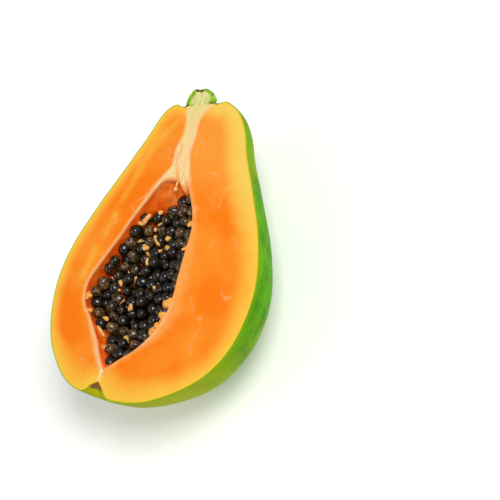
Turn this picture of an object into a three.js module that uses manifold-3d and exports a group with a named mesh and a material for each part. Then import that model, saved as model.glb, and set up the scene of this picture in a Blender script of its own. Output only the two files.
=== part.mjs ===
// A ripe papaya cut lengthwise: one half, lying on its rounded back with the cut face up.
// Millimetres, +Z up. The fruit's axis runs along Y, stem end at +Y, and the cut face is level.
// The half is one grown piece of flesh with its skin. The cut stem stub and the heap of seeds are
// pieces of their own. Every profile below is taken in the plane of the cut.
import * as THREE from "three";
import { mergeVertices } from "three/addons/utils/BufferGeometryUtils.js";
import Module from "manifold-3d";

const wasm = await Module();
wasm.setup();

// Height of the cut face over the table: the belly's round is 2.7 mm deeper than this, so the half
// rests on a small flat spot, as a ripe fruit does under its weight.
const FACE_HEIGHT = 53.4;

// The fruit's axis in the cut plane: where it crosses Y = 0, and how far it leans per millimetre.
const AXIS_X = -6.4;
const AXIS_LEAN = 0.024;

// Outline of the cut face from the blossom scar to the stem: [distance from the axis, Y] on the
// fuller right side and on the flatter left side, one row for each feature.
const FRUIT_STATIONS = [
  { name: "blossom scar", right: [0, -64.4], left: [0, -64.4] },
  { name: "blossom dimple", right: [3.6, -67.4], left: [3.3, -66.7] },
  { name: "dimple lip", right: [9.6, -70.8], left: [8.0, -70.1] },
  { name: "blossom shoulder", right: [25.5, -68.5], left: [18.3, -67.0] },
  { name: "heel", right: [40.5, -60.9], left: [27.0, -60.0] },
  { name: "lower belly", right: [54.3, -49.4], left: [35.3, -49.6] },
  { name: "full belly", right: [62.7, -35.0], left: [41.0, -36.0] },
  { name: "widest", right: [65.9, -18.0], left: [44.1, -19.0] },
  { name: "upper belly", right: [64.7, 0.5], left: [42.8, -1.0] },
  { name: "waist", right: [57.2, 21.8], left: [36.8, 20.5] },
  { name: "lower neck", right: [46.2, 41.8], left: [29.4, 41.5] },
  { name: "neck", right: [35.8, 59.2], left: [23.4, 59.2] },
  { name: "upper neck", right: [30.0, 71.0], left: [20.0, 71.0] },
  { name: "stem shoulder", right: [23.2, 79.6], left: [16.6, 76.4] },
  { name: "shoulder top", right: [14.6, 84.0], left: [13.2, 78.4] },
  { name: "stem dimple", right: [9.0, 82.6], left: [10.2, 77.8] },
  { name: "stem seat", right: [0, 80.1], left: [0, 80.1] },
];
// Depth of the back against the half width: fullest under the middle, flatter at both ends.
const BLOSSOM_DEPTH = 0.96;
const BELLY_DEPTH = 1.012;
const NECK_DEPTH = 1.02;
const BLOSSOM_END_Y = -50;
const BELLY_Y = 4;
const NECK_STARTS_Y = 20;
const NECK_FULL_Y = 60;
// Five soft ribs run down the back, one for each carpel.
const RIB_COUNT = 5;
const RIB_SHARE = 0.014;
// Between the cut and the bottom the back stands out a little more than a round would.
const FLANK_SHARE = 0.025;

// The seed cavity in the same way, from its pointed blossom end to its pointed stem end.
const CAVITY_STATIONS = [
  { right: [0, -57.6], left: [0, -57.6] },
  { right: [6.2, -50.8], left: [5.2, -50.8] },
  { right: [13.6, -43.3], left: [10.4, -43.3] },
  { right: [18.8, -35.0], left: [17.6, -35.0] },
  { right: [21.6, -27.4], left: [24.6, -27.4] },
  { right: [22.8, -17.5], left: [26.6, -17.5] },
  { right: [21.4, -4.5], left: [22.6, -4.5] },
  { right: [20.3, 7.5], left: [18.2, 7.5] },
  { right: [19.6, 18.0], left: [14.8, 18.0] },
  { right: [16.4, 27.0], left: [11.2, 27.0] },
  { right: [11.2, 35.6], left: [7.8, 35.6] },
  { right: [5.4, 42.4], left: [4.2, 42.4] },
  { right: [0, 47.0], left: [0, 47.0] },
];
const CAVITY_DEPTH = 1.06;
const CAVITY_RIB_SHARE = 0.07;
const CAVITY_MIDDLE_Y = -5.3;
const CAVITY_HALF_LENGTH = 52.3;

// Seeds with their jelly coats: 6.4 mm long and 5.7 mm thick.
const SEED_LENGTH = 6.4;
const SEED_THICKNESS = 5.7;
const SEED_PITCH = 6.1;
const SEED_SIZE_SPREAD = 0.14;
const SEED_JITTER = 3;
const SEED_LIFT = 1.8;
const SEED_DRAW = 20417;
const SEED_COLUMNS_EACH_SIDE = 7;
const SEED_GAP = 0.35;
// The top seeds lie this far under the cut at the wall and line a hollow right of the middle.
const HEAP_AT_WALL = 4.6;
const HEAP_SAG = 8;
const HOLLOW_ACROSS = 0.25;
const FULL_HALF_WIDTH = 24;
// The neck end of the cavity is free of seeds past a slanted line, where the heap drops away.
const HEAP_END_Y = 28.5;
const HEAP_END_SLANT = 11;
const HEAP_END_DROP = 1.3;
const SETTLING_PASSES = 24;
// The bed under the top seeds, before the cavity trims it.
const BED_UNDER_CENTRES = 0.5;
const BED_WIDTH = 66;
const BED_LENGTH = 104;
const BED_DEPTH = 60;
const BED_COLUMNS = 11;
const BED_ROWS = 13;

// Lumps of placenta that stand out of the wall at the right rim: [Y, length, thickness].
const PLACENTA_LUMPS = [
  [-18.5, 5.6, 4.4],
  [-25.0, 4.6, 3.8],
  [-32.0, 5.4, 3.8],
  [21.5, 4.2, 2.8],
];
const LUMP_UNDER_FACE = 2.6;
const LUMP_TURN = 0.5;
const LUMP_SUNK_SHARE = 0.25;
const LUMP_HEIGHT_SHARE = 0.83;

// Stem stub: it leans with the seat it stands on.
const STUB_GAP = 0.3;
const STUB_LEAN_DEG = 13.5;
const STUB_PROFILE = [
  [0, 0],
  [7.6, 0],
  [7.9, 1.2],
  [7.9, 2.8],
  [7.6, 4.3],
  [6.9, 5.8],
  [5.8, 7.1],
  [4.6, 8.2],
  [3.2, 8.9],
  [1.8, 8.7],
  [0, 8.3],
];
const STUB_SIDES = 28;
// Its ridges: their height against its radius, their number round it, and their unevenness.
const STUB_RIDGE_SHARE = 0.05;
const STUB_RIDGES = 3;
const STUB_RIDGE_SHIFT = 1;
const STUB_UNEVEN = 2;

const FRUIT_SIDES = 72;
const FRUIT_RINGS = 56;
const CAVITY_SIDES = 48;
const CAVITY_RINGS = 34;
const HEAP_SIDES = 36;
const HEAP_RINGS = 24;
// Beyond the part on every side, for the blocks that trim it.
const REACH = 300;
// Points this close are one point, and points this close to the cut lie on it.
const SAME_POINT = 1e-4;
const ON_THE_CUT = 1e-6;
// Steps to find a place along the cavity, to far less than a micrometre.
const HALVINGS = 30;

const axisX = (y) => AXIS_X + AXIS_LEAN * y;
const mix = THREE.MathUtils.lerp;
const smooth = THREE.MathUtils.smoothstep;

// Repeatable draws from 0 to 1.
function drawsFrom(start) {
  let state = start;
  return () => {
    state = (state * 1664525 + 1013904223) % 4294967296;
    return state / 4294967296;
  };
}

// One side's [distance, Y] curve through its stations.
function sideCurve(stations, side) {
  return new THREE.SplineCurve(stations.map((s) => new THREE.Vector2(...s[side])));
}

const fruitRight = sideCurve(FRUIT_STATIONS, "right");
const fruitLeft = sideCurve(FRUIT_STATIONS, "left");
const cavityRight = sideCurve(CAVITY_STATIONS, "right");
const cavityLeft = sideCurve(CAVITY_STATIONS, "left");

// Distance from the axis at an angle round it, for a round section that is off centre.
function offCentreRadius(right, left, angle) {
  const offset = (right - left) / 2;
  const radius = (right + left) / 2;
  const across = offset * Math.sin(angle);
  return offset * Math.cos(angle) + Math.sqrt(Math.max(radius * radius - across * across, 0));
}

function backDepth(y) {
  const lower = mix(BLOSSOM_DEPTH, BELLY_DEPTH, smooth(y, BLOSSOM_END_Y, BELLY_Y));
  return mix(lower, NECK_DEPTH, smooth(y, NECK_STARTS_Y, NECK_FULL_Y));
}

// A point of the fruit's surface: along runs 0 to 1 from scar to stem, angle 0 is +X, 90 the back.
function fruitPoint(along, angle) {
  const right = fruitRight.getPoint(along);
  const left = fruitLeft.getPoint(along);
  const y = mix(right.y, left.y, (1 - Math.cos(angle)) / 2);
  const ribs = RIB_SHARE * Math.sin(angle) ** 2 * Math.cos(RIB_COUNT * angle);
  const flanks = FLANK_SHARE * Math.sin(2 * angle) ** 2;
  const radius = offCentreRadius(right.x, left.x, angle) * (1 + ribs + flanks);
  const depth = backDepth(y);
  return new THREE.Vector3(
    axisX(y) + radius * Math.cos(angle),
    y,
    -depth * radius * Math.sin(angle),
  );
}

// How far the cavity reaches from the axis, at a place along it and an angle round it.
function cavityRadius(along, angle, inset = 0) {
  const right = cavityRight.getPoint(along).x;
  const left = cavityLeft.getPoint(along).x;
  const across = Math.sin(angle) ** 2;
  const ribs = 1 + CAVITY_RIB_SHARE * across * Math.cos(RIB_COUNT * (angle - Math.PI));
  const depth = mix(1, CAVITY_DEPTH, across);
  return Math.max(offCentreRadius(right, left, angle) * ribs * depth - inset, 0);
}

// A point of the cavity's wall, or of the same shape drawn in by an inset.
function cavityPoint(along, angle, inset = 0) {
  const wallY = cavityRight.getPoint(along).y;
  const shrink = 1 - inset / CAVITY_HALF_LENGTH;
  const y = CAVITY_MIDDLE_Y + (wallY - CAVITY_MIDDLE_Y) * shrink;
  const radius = cavityRadius(along, angle, inset);
  return new THREE.Vector3(
    axisX(y) + radius * Math.cos(angle),
    y,
    -radius * Math.sin(angle),
  );
}

// A solid from a sphere whose poles lie on the axis and whose points a function places.
function solidOfRevolution(sides, rings, place) {
  const geometry = new THREE.SphereGeometry(1, sides, rings);
  const position = geometry.getAttribute("position");
  for (let i = 0; i < position.count; i++) {
    const ring = Math.floor(i / (sides + 1));
    const side = i % (sides + 1);
    const point = place(1 - ring / rings, ((side % sides) / sides) * 2 * Math.PI);
    position.setXYZ(i, point.x, point.y, Math.abs(point.z) < ON_THE_CUT ? 0 : point.z);
  }
  return solidFrom(geometry);
}

// A closed geometry as a solid that can be cut and joined, turned right side out.
function solidFrom(geometry) {
  const bare = geometry.clone();
  bare.deleteAttribute("normal");
  bare.deleteAttribute("uv");
  const merged = mergeVertices(bare, SAME_POINT);
  const triVerts = new Uint32Array(merged.index.array);
  const vertProperties = new Float32Array(merged.attributes.position.array);
  const solid = new wasm.Manifold(new wasm.Mesh({ numProp: 3, vertProperties, triVerts }));
  if (solid.volume() > 0) return solid;
  return new wasm.Manifold(
    new wasm.Mesh({ numProp: 3, vertProperties, triVerts: triVerts.reverse() }),
  );
}

function placed(geometry, matrix) {
  return solidFrom(geometry.applyMatrix4(matrix));
}

function blockBetween(low, high) {
  const size = new THREE.Vector3().subVectors(high, low);
  const middle = new THREE.Vector3().addVectors(low, high).multiplyScalar(0.5);
  return placed(
    new THREE.BoxGeometry(size.x, size.y, size.z),
    new THREE.Matrix4().setPosition(middle),
  );
}

// The half space over the cut, and the one under the table.
const overTheCut = blockBetween(
  new THREE.Vector3(-REACH, -REACH, 0),
  new THREE.Vector3(REACH, REACH, REACH),
);
const underTheTable = blockBetween(
  new THREE.Vector3(-REACH, -REACH, -REACH),
  new THREE.Vector3(REACH, REACH, -FACE_HEIGHT),
);

// Place along the cavity, 0 to 1, of a given Y.
function alongCavity(y) {
  let low = 0;
  let high = 1;
  for (let i = 0; i < HALVINGS; i++) {
    const middle = (low + high) / 2;
    if (cavityRight.getPoint(middle).y < y) low = middle;
    else high = middle;
  }
  return (low + high) / 2;
}

// Where a point lies across the cavity: -1 at the left wall, +1 at the right wall.
function acrossCavity(x, y) {
  const along = alongCavity(y);
  const distance = x - axisX(y);
  const reach = cavityRadius(along, distance < 0 ? Math.PI : 0);
  return distance / Math.max(reach, 1);
}

function pastHeapEnd(x, y) {
  return y - (HEAP_END_Y + HEAP_END_SLANT * acrossCavity(x, y));
}

// Height of the top seeds' centres, measured from the cut.
function heapHeight(x, y) {
  const fromHollow = acrossCavity(x, y) - HOLLOW_ACROSS;
  const toWall = fromHollow / (fromHollow < 0 ? 1 + HOLLOW_ACROSS : 1 - HOLLOW_ACROSS);
  const halfWidth = cavityRadius(alongCavity(y), Math.PI);
  const sag = HEAP_SAG * Math.min(halfWidth / FULL_HALF_WIDTH, 1);
  const drop = HEAP_END_DROP * Math.max(pastHeapEnd(x, y), 0);
  return -(HEAP_AT_WALL + sag * Math.max(1 - toWall * toWall, 0) + drop);
}

function insideHeap(x, y) {
  return Math.abs(acrossCavity(x, y)) < 1 && pastHeapEnd(x, y) < 0;
}

// Keeps a seed's centre off the wall by its own radius.
function keepOffWall(seed) {
  const room = (seed.size * SEED_THICKNESS) / 2;
  const along = alongCavity(seed.y);
  const rightReach = cavityRadius(along, 0) - room;
  const leftReach = cavityRadius(along, Math.PI) - room;
  const distance = seed.x - axisX(seed.y);
  seed.x = axisX(seed.y) + Math.max(-leftReach, Math.min(rightReach, distance));
}

// Pushes two seeds apart in the plane of the cut until they only touch.
function pushApart(a, b) {
  const wanted = ((a.size + b.size) / 2) * SEED_THICKNESS;
  const x = b.x - a.x;
  const y = b.y - a.y;
  const distance = Math.sqrt(x * x + y * y);
  if (distance >= wanted || distance === 0) return;
  const share = (0.5 * (wanted - distance)) / distance;
  a.x -= x * share;
  a.y -= y * share;
  b.x += x * share;
  b.y += y * share;
}

// Top layer of the heap: a jittered grid of seeds that then settle beside each other.
function settledSeeds() {
  const draw = drawsFrom(SEED_DRAW);
  const seeds = [];
  const rowStep = SEED_PITCH * Math.sqrt(0.75);
  const first = CAVITY_STATIONS[0].right[1] + SEED_THICKNESS;
  for (let row = 0; first + row * rowStep < HEAP_END_Y + HEAP_END_SLANT; row++) {
    for (let column = -SEED_COLUMNS_EACH_SIDE; column <= SEED_COLUMNS_EACH_SIDE; column++) {
      const y = first + row * rowStep + (draw() - 0.5) * SEED_JITTER;
      const shift = (column + (row % 2) / 2) * SEED_PITCH;
      const x = axisX(y) + shift + (draw() - 0.5) * SEED_JITTER;
      const lift = (draw() - 0.5) * SEED_LIFT;
      const size = 1 + (draw() - 0.5) * SEED_SIZE_SPREAD;
      const turn = [draw() * Math.PI, (draw() - 0.5) * Math.PI];
      if (insideHeap(x, y)) seeds.push({ x, y, lift, size, turn });
    }
  }
  for (let pass = 0; pass < SETTLING_PASSES; pass++) {
    seeds.forEach((a, i) => seeds.slice(i + 1).forEach((b) => pushApart(a, b)));
    seeds.forEach(keepOffWall);
  }
  return seeds;
}

function seedSolid(seed) {
  const turn = new THREE.Euler(seed.turn[1] * 0.5, seed.turn[1], seed.turn[0], "ZYX");
  const centre = new THREE.Vector3(seed.x, seed.y, heapHeight(seed.x, seed.y) + seed.lift);
  const scale = new THREE.Vector3(
    (SEED_LENGTH / 2) * seed.size,
    (SEED_THICKNESS / 2) * seed.size,
    (SEED_THICKNESS / 2) * seed.size,
  );
  return placed(
    new THREE.IcosahedronGeometry(1, 1),
    new THREE.Matrix4().compose(centre, new THREE.Quaternion().setFromEuler(turn), scale),
  );
}

// The pulp and the seeds deeper down, as one bed that the top seeds are sunk in.
function seedBed() {
  const bed = new THREE.BoxGeometry(BED_WIDTH, BED_LENGTH, BED_DEPTH, BED_COLUMNS, BED_ROWS, 1);
  const position = bed.getAttribute("position");
  for (let i = 0; i < position.count; i++) {
    const x = position.getX(i) + axisX(CAVITY_MIDDLE_Y);
    const y = position.getY(i) + CAVITY_MIDDLE_Y;
    const top = position.getZ(i) > 0;
    const z = top ? heapHeight(x, y) - BED_UNDER_CENTRES : -BED_DEPTH;
    position.setXYZ(i, x, y, z);
  }
  return solidFrom(bed);
}

function lumpMatrix([y, length, thickness], grow) {
  const along = alongCavity(y);
  const x = axisX(y) + cavityRadius(along, 0) - thickness * LUMP_SUNK_SHARE;
  const height = thickness * LUMP_HEIGHT_SHARE;
  return new THREE.Matrix4().compose(
    new THREE.Vector3(x, y, -LUMP_UNDER_FACE),
    new THREE.Quaternion().setFromEuler(new THREE.Euler(0, 0, LUMP_TURN)),
    new THREE.Vector3(length / 2 + grow, thickness / 2 + grow, height / 2 + grow),
  );
}

const lumps = (grow) =>
  PLACENTA_LUMPS.map((lump) =>
    placed(new THREE.IcosahedronGeometry(1, 1), lumpMatrix(lump, grow)),
  );

// One biggest body of a solid, without loose scraps.
function largestBody(solid) {
  return solid.decompose().sort((a, b) => b.volume() - a.volume())[0];
}

function papayaHalf() {
  const whole = solidOfRevolution(FRUIT_SIDES, FRUIT_RINGS, fruitPoint);
  const cavity = solidOfRevolution(CAVITY_SIDES, CAVITY_RINGS, (s, a) => cavityPoint(s, a));
  const hollow = lumps(0).reduce((solid, lump) => solid.subtract(lump), cavity);
  return largestBody(whole.subtract(overTheCut).subtract(underTheTable).subtract(hollow));
}

function seedHeap() {
  const room = solidOfRevolution(HEAP_SIDES, HEAP_RINGS, (s, a) =>
    cavityPoint(s, a, SEED_GAP),
  );
  let heap = seedBed();
  for (const seed of settledSeeds()) heap = heap.add(seedSolid(seed));
  heap = heap.intersect(room);
  return largestBody(lumps(SEED_GAP).reduce((solid, lump) => solid.subtract(lump), heap));
}

function stemStub() {
  const profile = STUB_PROFILE.map(([radius, height]) => new THREE.Vector2(radius, height));
  const stub = new THREE.LatheGeometry(profile, STUB_SIDES);
  const position = stub.getAttribute("position");
  for (let i = 0; i < position.count; i++) {
    const angle = Math.atan2(position.getZ(i), position.getX(i));
    const wave = Math.sin(STUB_RIDGES * angle + STUB_RIDGE_SHIFT) * Math.cos(STUB_UNEVEN * angle);
    position.setX(i, position.getX(i) * (1 + STUB_RIDGE_SHARE * wave));
    position.setZ(i, position.getZ(i) * (1 + STUB_RIDGE_SHARE * wave));
  }
  const seat = FRUIT_STATIONS.at(-1).right[1];
  const lean = THREE.MathUtils.degToRad(STUB_LEAN_DEG);
  const up = new THREE.Vector3(-Math.sin(lean), Math.cos(lean), 0);
  const foot = new THREE.Vector3(axisX(seat), seat, 0).addScaledVector(up, STUB_GAP);
  const stand = new THREE.Matrix4().makeRotationZ(lean).setPosition(foot);
  const whole = placed(stub, stand);
  return whole.subtract(overTheCut);
}

// A solid as a named mesh.
function meshOf(name, solid, material) {
  const mesh = solid.getMesh();
  const geometry = new THREE.BufferGeometry();
  geometry.setAttribute("position", new THREE.BufferAttribute(mesh.vertProperties, 3));
  geometry.setIndex(new THREE.BufferAttribute(mesh.triVerts, 1));
  geometry.computeVertexNormals();
  const made = new THREE.Mesh(geometry, material);
  made.name = name;
  return made;
}

const fleshMaterial = new THREE.MeshStandardMaterial({
  color: 0xff9126,
  roughness: 0.42,
  metalness: 0,
  flatShading: true,
});
const seedMaterial = new THREE.MeshStandardMaterial({
  color: 0x2b2014,
  roughness: 0.18,
  metalness: 0,
  flatShading: true,
});
const stemMaterial = new THREE.MeshStandardMaterial({
  color: 0x8cae2c,
  roughness: 0.65,
  metalness: 0,
  flatShading: true,
});

const papaya = new THREE.Group();
papaya.name = "papaya";
papaya.add(meshOf("papaya_half", papayaHalf(), fleshMaterial));
papaya.add(meshOf("seeds", seedHeap(), seedMaterial));
papaya.add(meshOf("stem_stub", stemStub(), stemMaterial));

// The origin is on the table, under the middle of the part's outline.
const bounds = new THREE.Box3().setFromObject(papaya);
const centre = bounds.getCenter(new THREE.Vector3());
papaya.position.set(-centre.x, -centre.y, FACE_HEIGHT);

export default papaya;
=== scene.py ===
"""One half of a ripe papaya, cut lengthwise and lying on its round back, for Blender 4.5.

The half's shape is worked out in millimetres in a frame of its own: Z = 0 is the knife's cut, Y
runs along the fruit towards the stem, and X towards the fuller side. Each piece is then moved into
the part's frame, in metres, where it rides on the part's only body.
"""

import logging
import math
from collections.abc import Callable
from dataclasses import dataclass
from enum import Enum

import bmesh
import bpy
import numpy as np
from mathutils import Euler, Matrix, Vector, noise

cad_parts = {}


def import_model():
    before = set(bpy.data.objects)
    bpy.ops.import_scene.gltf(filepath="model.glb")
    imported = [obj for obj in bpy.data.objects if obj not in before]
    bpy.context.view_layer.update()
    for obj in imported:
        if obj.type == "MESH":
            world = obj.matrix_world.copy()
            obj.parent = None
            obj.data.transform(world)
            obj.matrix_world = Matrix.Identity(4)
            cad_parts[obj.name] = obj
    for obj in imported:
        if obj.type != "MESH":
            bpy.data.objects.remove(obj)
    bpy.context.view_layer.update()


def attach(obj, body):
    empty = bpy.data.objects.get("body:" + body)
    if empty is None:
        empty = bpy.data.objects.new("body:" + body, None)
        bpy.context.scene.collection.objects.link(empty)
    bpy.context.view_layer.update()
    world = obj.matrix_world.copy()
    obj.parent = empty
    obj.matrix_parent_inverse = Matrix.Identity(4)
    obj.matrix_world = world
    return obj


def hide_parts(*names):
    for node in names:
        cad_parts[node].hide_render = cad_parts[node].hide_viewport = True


LOG = logging.getLogger("papaya")

MM = 0.001
FACE_HEIGHT = 53.4
# From the cut's own frame to the part's frame, in mm.
TO_PART = Vector((-4.197, -9.512, FACE_HEIGHT))
BODY = "root"
# Points nearer than this to each other, in mm, become one, or count as the same point.
WELD = 0.004
SAME = 1e-5

# What a node's input takes: a number, a hex colour, a vector or another node's output.
Socket = bpy.types.NodeSocket
Value = float | str | tuple[float, ...] | Socket
# Height, size and seed of each layer of soft noise, the first two in mm.
Swells = tuple[tuple[float, float, float], ...]
# X, Y points in mm.
Line = tuple[tuple[float, float], ...]
Edges = list[bmesh.types.BMEdge]
RingPlace = Callable[[bmesh.types.BMVert, float], Vector]


def smooth(value: float, low: float, high: float) -> float:
    """Runs softly from 0 at low to 1 at high."""
    t = min(max((value - low) / (high - low), 0.0), 1.0)
    return t * t * (3.0 - 2.0 * t)


def mix(a: float, b: float, share: float) -> float:
    """Blends a into b by a share from 0 to 1."""
    return a + (b - a) * share


def lump(point: Vector, size: float, seed: float = 0.0) -> float:
    """Soft noise from about -1 to 1, with features of the given size in mm."""
    return noise.noise(Vector((point.x + seed, point.y - seed, point.z + 2 * seed)) / size)


def swell(point: Vector, layers: Swells) -> float:
    """Height of soft swells at a point, in mm."""
    return sum(height * lump(point, size, seed) for height, size, seed in layers)


def side_of(distance: float) -> float:
    """Angle of the cut's edge on the side of a distance from the axis."""
    return math.pi if distance < 0 else 0.0


@dataclass(frozen=True)
class Profile:
    """A smooth curve through (distance from the fruit's axis, Y) stations, in mm."""

    stations: tuple[tuple[float, float], ...]

    def at(self, along: float) -> tuple[float, float]:
        """Finds a point of the curve.

        Args:
            along: 0 at the blossom end, 1 at the stem end, even in stations.

        Returns:
            The distance from the axis and the Y there, in mm.
        """
        last = len(self.stations) - 1
        place = min(max(along, 0.0), 1.0) * last
        start = min(int(place), last - 1)
        t = place - start
        near = [self.stations[min(max(start + i, 0), last)] for i in (-1, 0, 1, 2)]
        return tuple(self._blend(t, *(station[k] for station in near)) for k in (0, 1))

    @staticmethod
    def _blend(t: float, a: float, b: float, c: float, d: float) -> float:
        """Runs a Catmull-Rom curve from b to c.

        Args:
            t: 0 at b, 1 at c.
            a: The value before b.
            b: The value where the stretch starts.
            c: The value where it ends.
            d: The value after c.

        Returns:
            The value there.
        """
        rise = 0.5 * (c - a)
        fall = 0.5 * (d - b)
        cubic = (2 * b - 2 * c + rise + fall) * t**3
        return cubic + (-3 * b + 3 * c - 2 * rise - fall) * t**2 + rise * t + b


@dataclass(frozen=True)
class FruitForm:
    """The half's outside and its seed cavity, by the same stations as the solid model."""

    axis_at_zero: float = -6.4
    axis_lean: float = 0.024
    blossom_y: float = -64.4
    seat_y: float = 80.1
    # Each line below holds stations of (distance from the axis, Y), in mm.
    right: Profile = Profile(
        (
            (0, -64.4), (3.6, -67.4), (9.6, -70.8), (25.5, -68.5), (40.5, -60.9),
            (54.3, -49.4), (62.7, -35.0), (65.9, -18.0), (64.7, 0.5), (57.2, 21.8),
            (46.2, 41.8), (35.8, 59.2), (30.0, 71.0), (23.2, 79.6), (14.6, 84.0),
            (9.0, 82.6), (0, 80.1),
        )
    )
    left: Profile = Profile(
        (
            (0, -64.4), (3.3, -66.7), (8.0, -70.1), (18.3, -67.0), (27.0, -60.0),
            (35.3, -49.6), (41.0, -36.0), (44.1, -19.0), (42.8, -1.0), (36.8, 20.5),
            (29.4, 41.5), (23.4, 59.2), (20.0, 71.0), (16.6, 76.4), (13.2, 78.4),
            (10.2, 77.8), (0, 80.1),
        )
    )
    cavity_right: Profile = Profile(
        (
            (0, -57.6), (6.2, -50.8), (13.6, -43.3), (18.8, -35.0), (21.6, -27.4),
            (22.8, -17.5), (21.4, -4.5), (20.3, 7.5), (19.6, 18.0), (16.4, 27.0),
            (11.2, 35.6), (5.4, 42.4), (0, 47.0),
        )
    )
    cavity_left: Profile = Profile(
        (
            (0, -57.6), (5.2, -50.8), (10.4, -43.3), (17.6, -35.0), (24.6, -27.4),
            (26.6, -17.5), (22.6, -4.5), (18.2, 7.5), (14.8, 18.0), (11.2, 27.0),
            (7.8, 35.6), (4.2, 42.4), (0, 47.0),
        )
    )
    blossom_depth: float = 0.96
    belly_depth: float = 1.012
    neck_depth: float = 1.02
    ribs: int = 5
    rib_share: float = 0.014
    flank_share: float = 0.025
    cavity_depth: float = 1.06
    cavity_rib_share: float = 0.07
    halvings: int = 24

    def axis_x(self, y: float) -> float:
        """X of the fruit's axis at a given Y."""
        return self.axis_at_zero + self.axis_lean * y

    @staticmethod
    def _off_centre(right: float, left: float, angle: float) -> float:
        """Finds how far a round section reaches that is off centre.

        Args:
            right: Its reach to the right of the axis, in mm.
            left: Its reach to the left.
            angle: Radians round the axis.

        Returns:
            Its reach at the angle, in mm.
        """
        offset = (right - left) / 2
        radius = (right + left) / 2
        across = offset * math.sin(angle)
        return offset * math.cos(angle) + math.sqrt(max(radius**2 - across**2, 0.0))

    def back_depth(self, y: float) -> float:
        """Depth of the back against the half width."""
        lower = mix(self.blossom_depth, self.belly_depth, smooth(y, -50, 4))
        return mix(lower, self.neck_depth, smooth(y, 20, 60))

    def skin_point(self, along: float, angle: float) -> Vector:
        """Finds a point of the skin.

        Args:
            along: 0 at the blossom scar, 1 at the stem seat.
            angle: Radians round the axis: 0 is the right edge of the cut, pi the left edge.

        Returns:
            The point, in mm.
        """
        right, right_y = self.right.at(along)
        left, left_y = self.left.at(along)
        y = mix(right_y, left_y, (1 - math.cos(angle)) / 2)
        ribs = self.rib_share * math.sin(angle) ** 2 * math.cos(self.ribs * angle)
        flanks = self.flank_share * math.sin(2 * angle) ** 2
        radius = self._off_centre(right, left, angle) * (1 + ribs + flanks)
        x = self.axis_x(y) + radius * math.cos(angle)
        return Vector((x, y, -self.back_depth(y) * radius * math.sin(angle)))

    def cavity_radius(self, along: float, angle: float) -> float:
        """Measures from the axis to the cavity's wall.

        Args:
            along: 0 at the cavity's blossom end, 1 at its stem end.
            angle: Radians round the axis.

        Returns:
            The distance, in mm.
        """
        right, _ = self.cavity_right.at(along)
        left, _ = self.cavity_left.at(along)
        across = math.sin(angle) ** 2
        ribs = 1 + self.cavity_rib_share * across * math.cos(self.ribs * (angle - math.pi))
        depth = mix(1.0, self.cavity_depth, across)
        return max(self._off_centre(right, left, angle) * ribs * depth, 0.0)

    def cavity_point(self, along: float, angle: float) -> Vector:
        """Finds a point of the cavity's wall.

        Args:
            along: 0 at the cavity's blossom end, 1 at its stem end.
            angle: Radians round the axis.

        Returns:
            The point, in mm.
        """
        _, y = self.cavity_right.at(along)
        radius = self.cavity_radius(along, angle)
        x = self.axis_x(y) + radius * math.cos(angle)
        return Vector((x, y, -radius * math.sin(angle)))

    def along_cavity(self, y: float) -> float:
        """Finds the place along the cavity of a given Y, by halving.

        Args:
            y: The Y, in mm.

        Returns:
            The place, 0 to 1.
        """
        low, high = 0.0, 1.0
        for _ in range(self.halvings):
            middle = (low + high) / 2
            if self.cavity_right.at(middle)[1] < y:
                low = middle
            else:
                high = middle
        return (low + high) / 2

    def across_cavity(self, x: float, y: float) -> float:
        """Finds how far across the cavity a place lies.

        Args:
            x: X of the place, in mm.
            y: Y of the place, in mm.

        Returns:
            -1 at the left wall, +1 at the right wall.
        """
        distance = x - self.axis_x(y)
        reach = self.cavity_radius(self.along_cavity(y), side_of(distance))
        return distance / max(reach, 1.0)


FORM = FruitForm()


def srgb(hex_colour: str) -> tuple[float, float, float, float]:
    """Turns an sRGB colour into a linear one.

    Args:
        hex_colour: The colour's hex name, such as #ff8800.

    Returns:
        Linear red, green and blue, and an alpha of 1.
    """
    channels = [int(hex_colour[i : i + 2], 16) / 255 for i in (1, 3, 5)]
    linear = [c / 12.92 if c <= 0.04045 else ((c + 0.055) / 1.055) ** 2.4 for c in channels]
    return (*linear, 1.0)


def per_metre(size_mm: float) -> float:
    """Scale of a pattern whose features are about size_mm across."""
    return 1.0 / (size_mm * MM)


class Kind(Enum):
    """Kinds of node: Blender's name, settings, the inputs in their order here, and the output."""

    PLACE = ("TexCoord", {}, (), "Object")
    CARRIED = ("Attribute", {}, (), "Fac")
    STRETCH = ("Mapping", {}, ("Vector", "Scale"), 0)
    SHIFT = ("Mapping", {}, ("Vector", "Location"), 0)
    VECTOR = ("CombineXYZ", {}, (0, 1), 0)
    NOISE = ("TexNoise", {}, ("Vector", "Scale", "Detail", "Roughness", "Distortion"), "Fac")
    CELLS = ("TexVoronoi", {}, ("Vector", "Scale"), "Distance")
    RAMP = ("MapRange", {"interpolation_type": "SMOOTHSTEP"}, (0, 1, 2, 3, 4), 0)
    BLEND = ("Mix", {"data_type": "RGBA"}, (0, 6, 7), 2)
    ADD = ("Math", {"operation": "ADD"}, (0, 1), 0)
    SUBTRACT = ("Math", {"operation": "SUBTRACT"}, (0, 1), 0)
    MULTIPLY = ("Math", {"operation": "MULTIPLY"}, (0, 1), 0)
    MAXIMUM = ("Math", {"operation": "MAXIMUM"}, (0, 1), 0)
    ABSOLUTE = ("Math", {"operation": "ABSOLUTE"}, (0,), 0)
    RELIEF = ("Bump", {}, ("Height", "Distance", "Normal"), 0)


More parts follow.
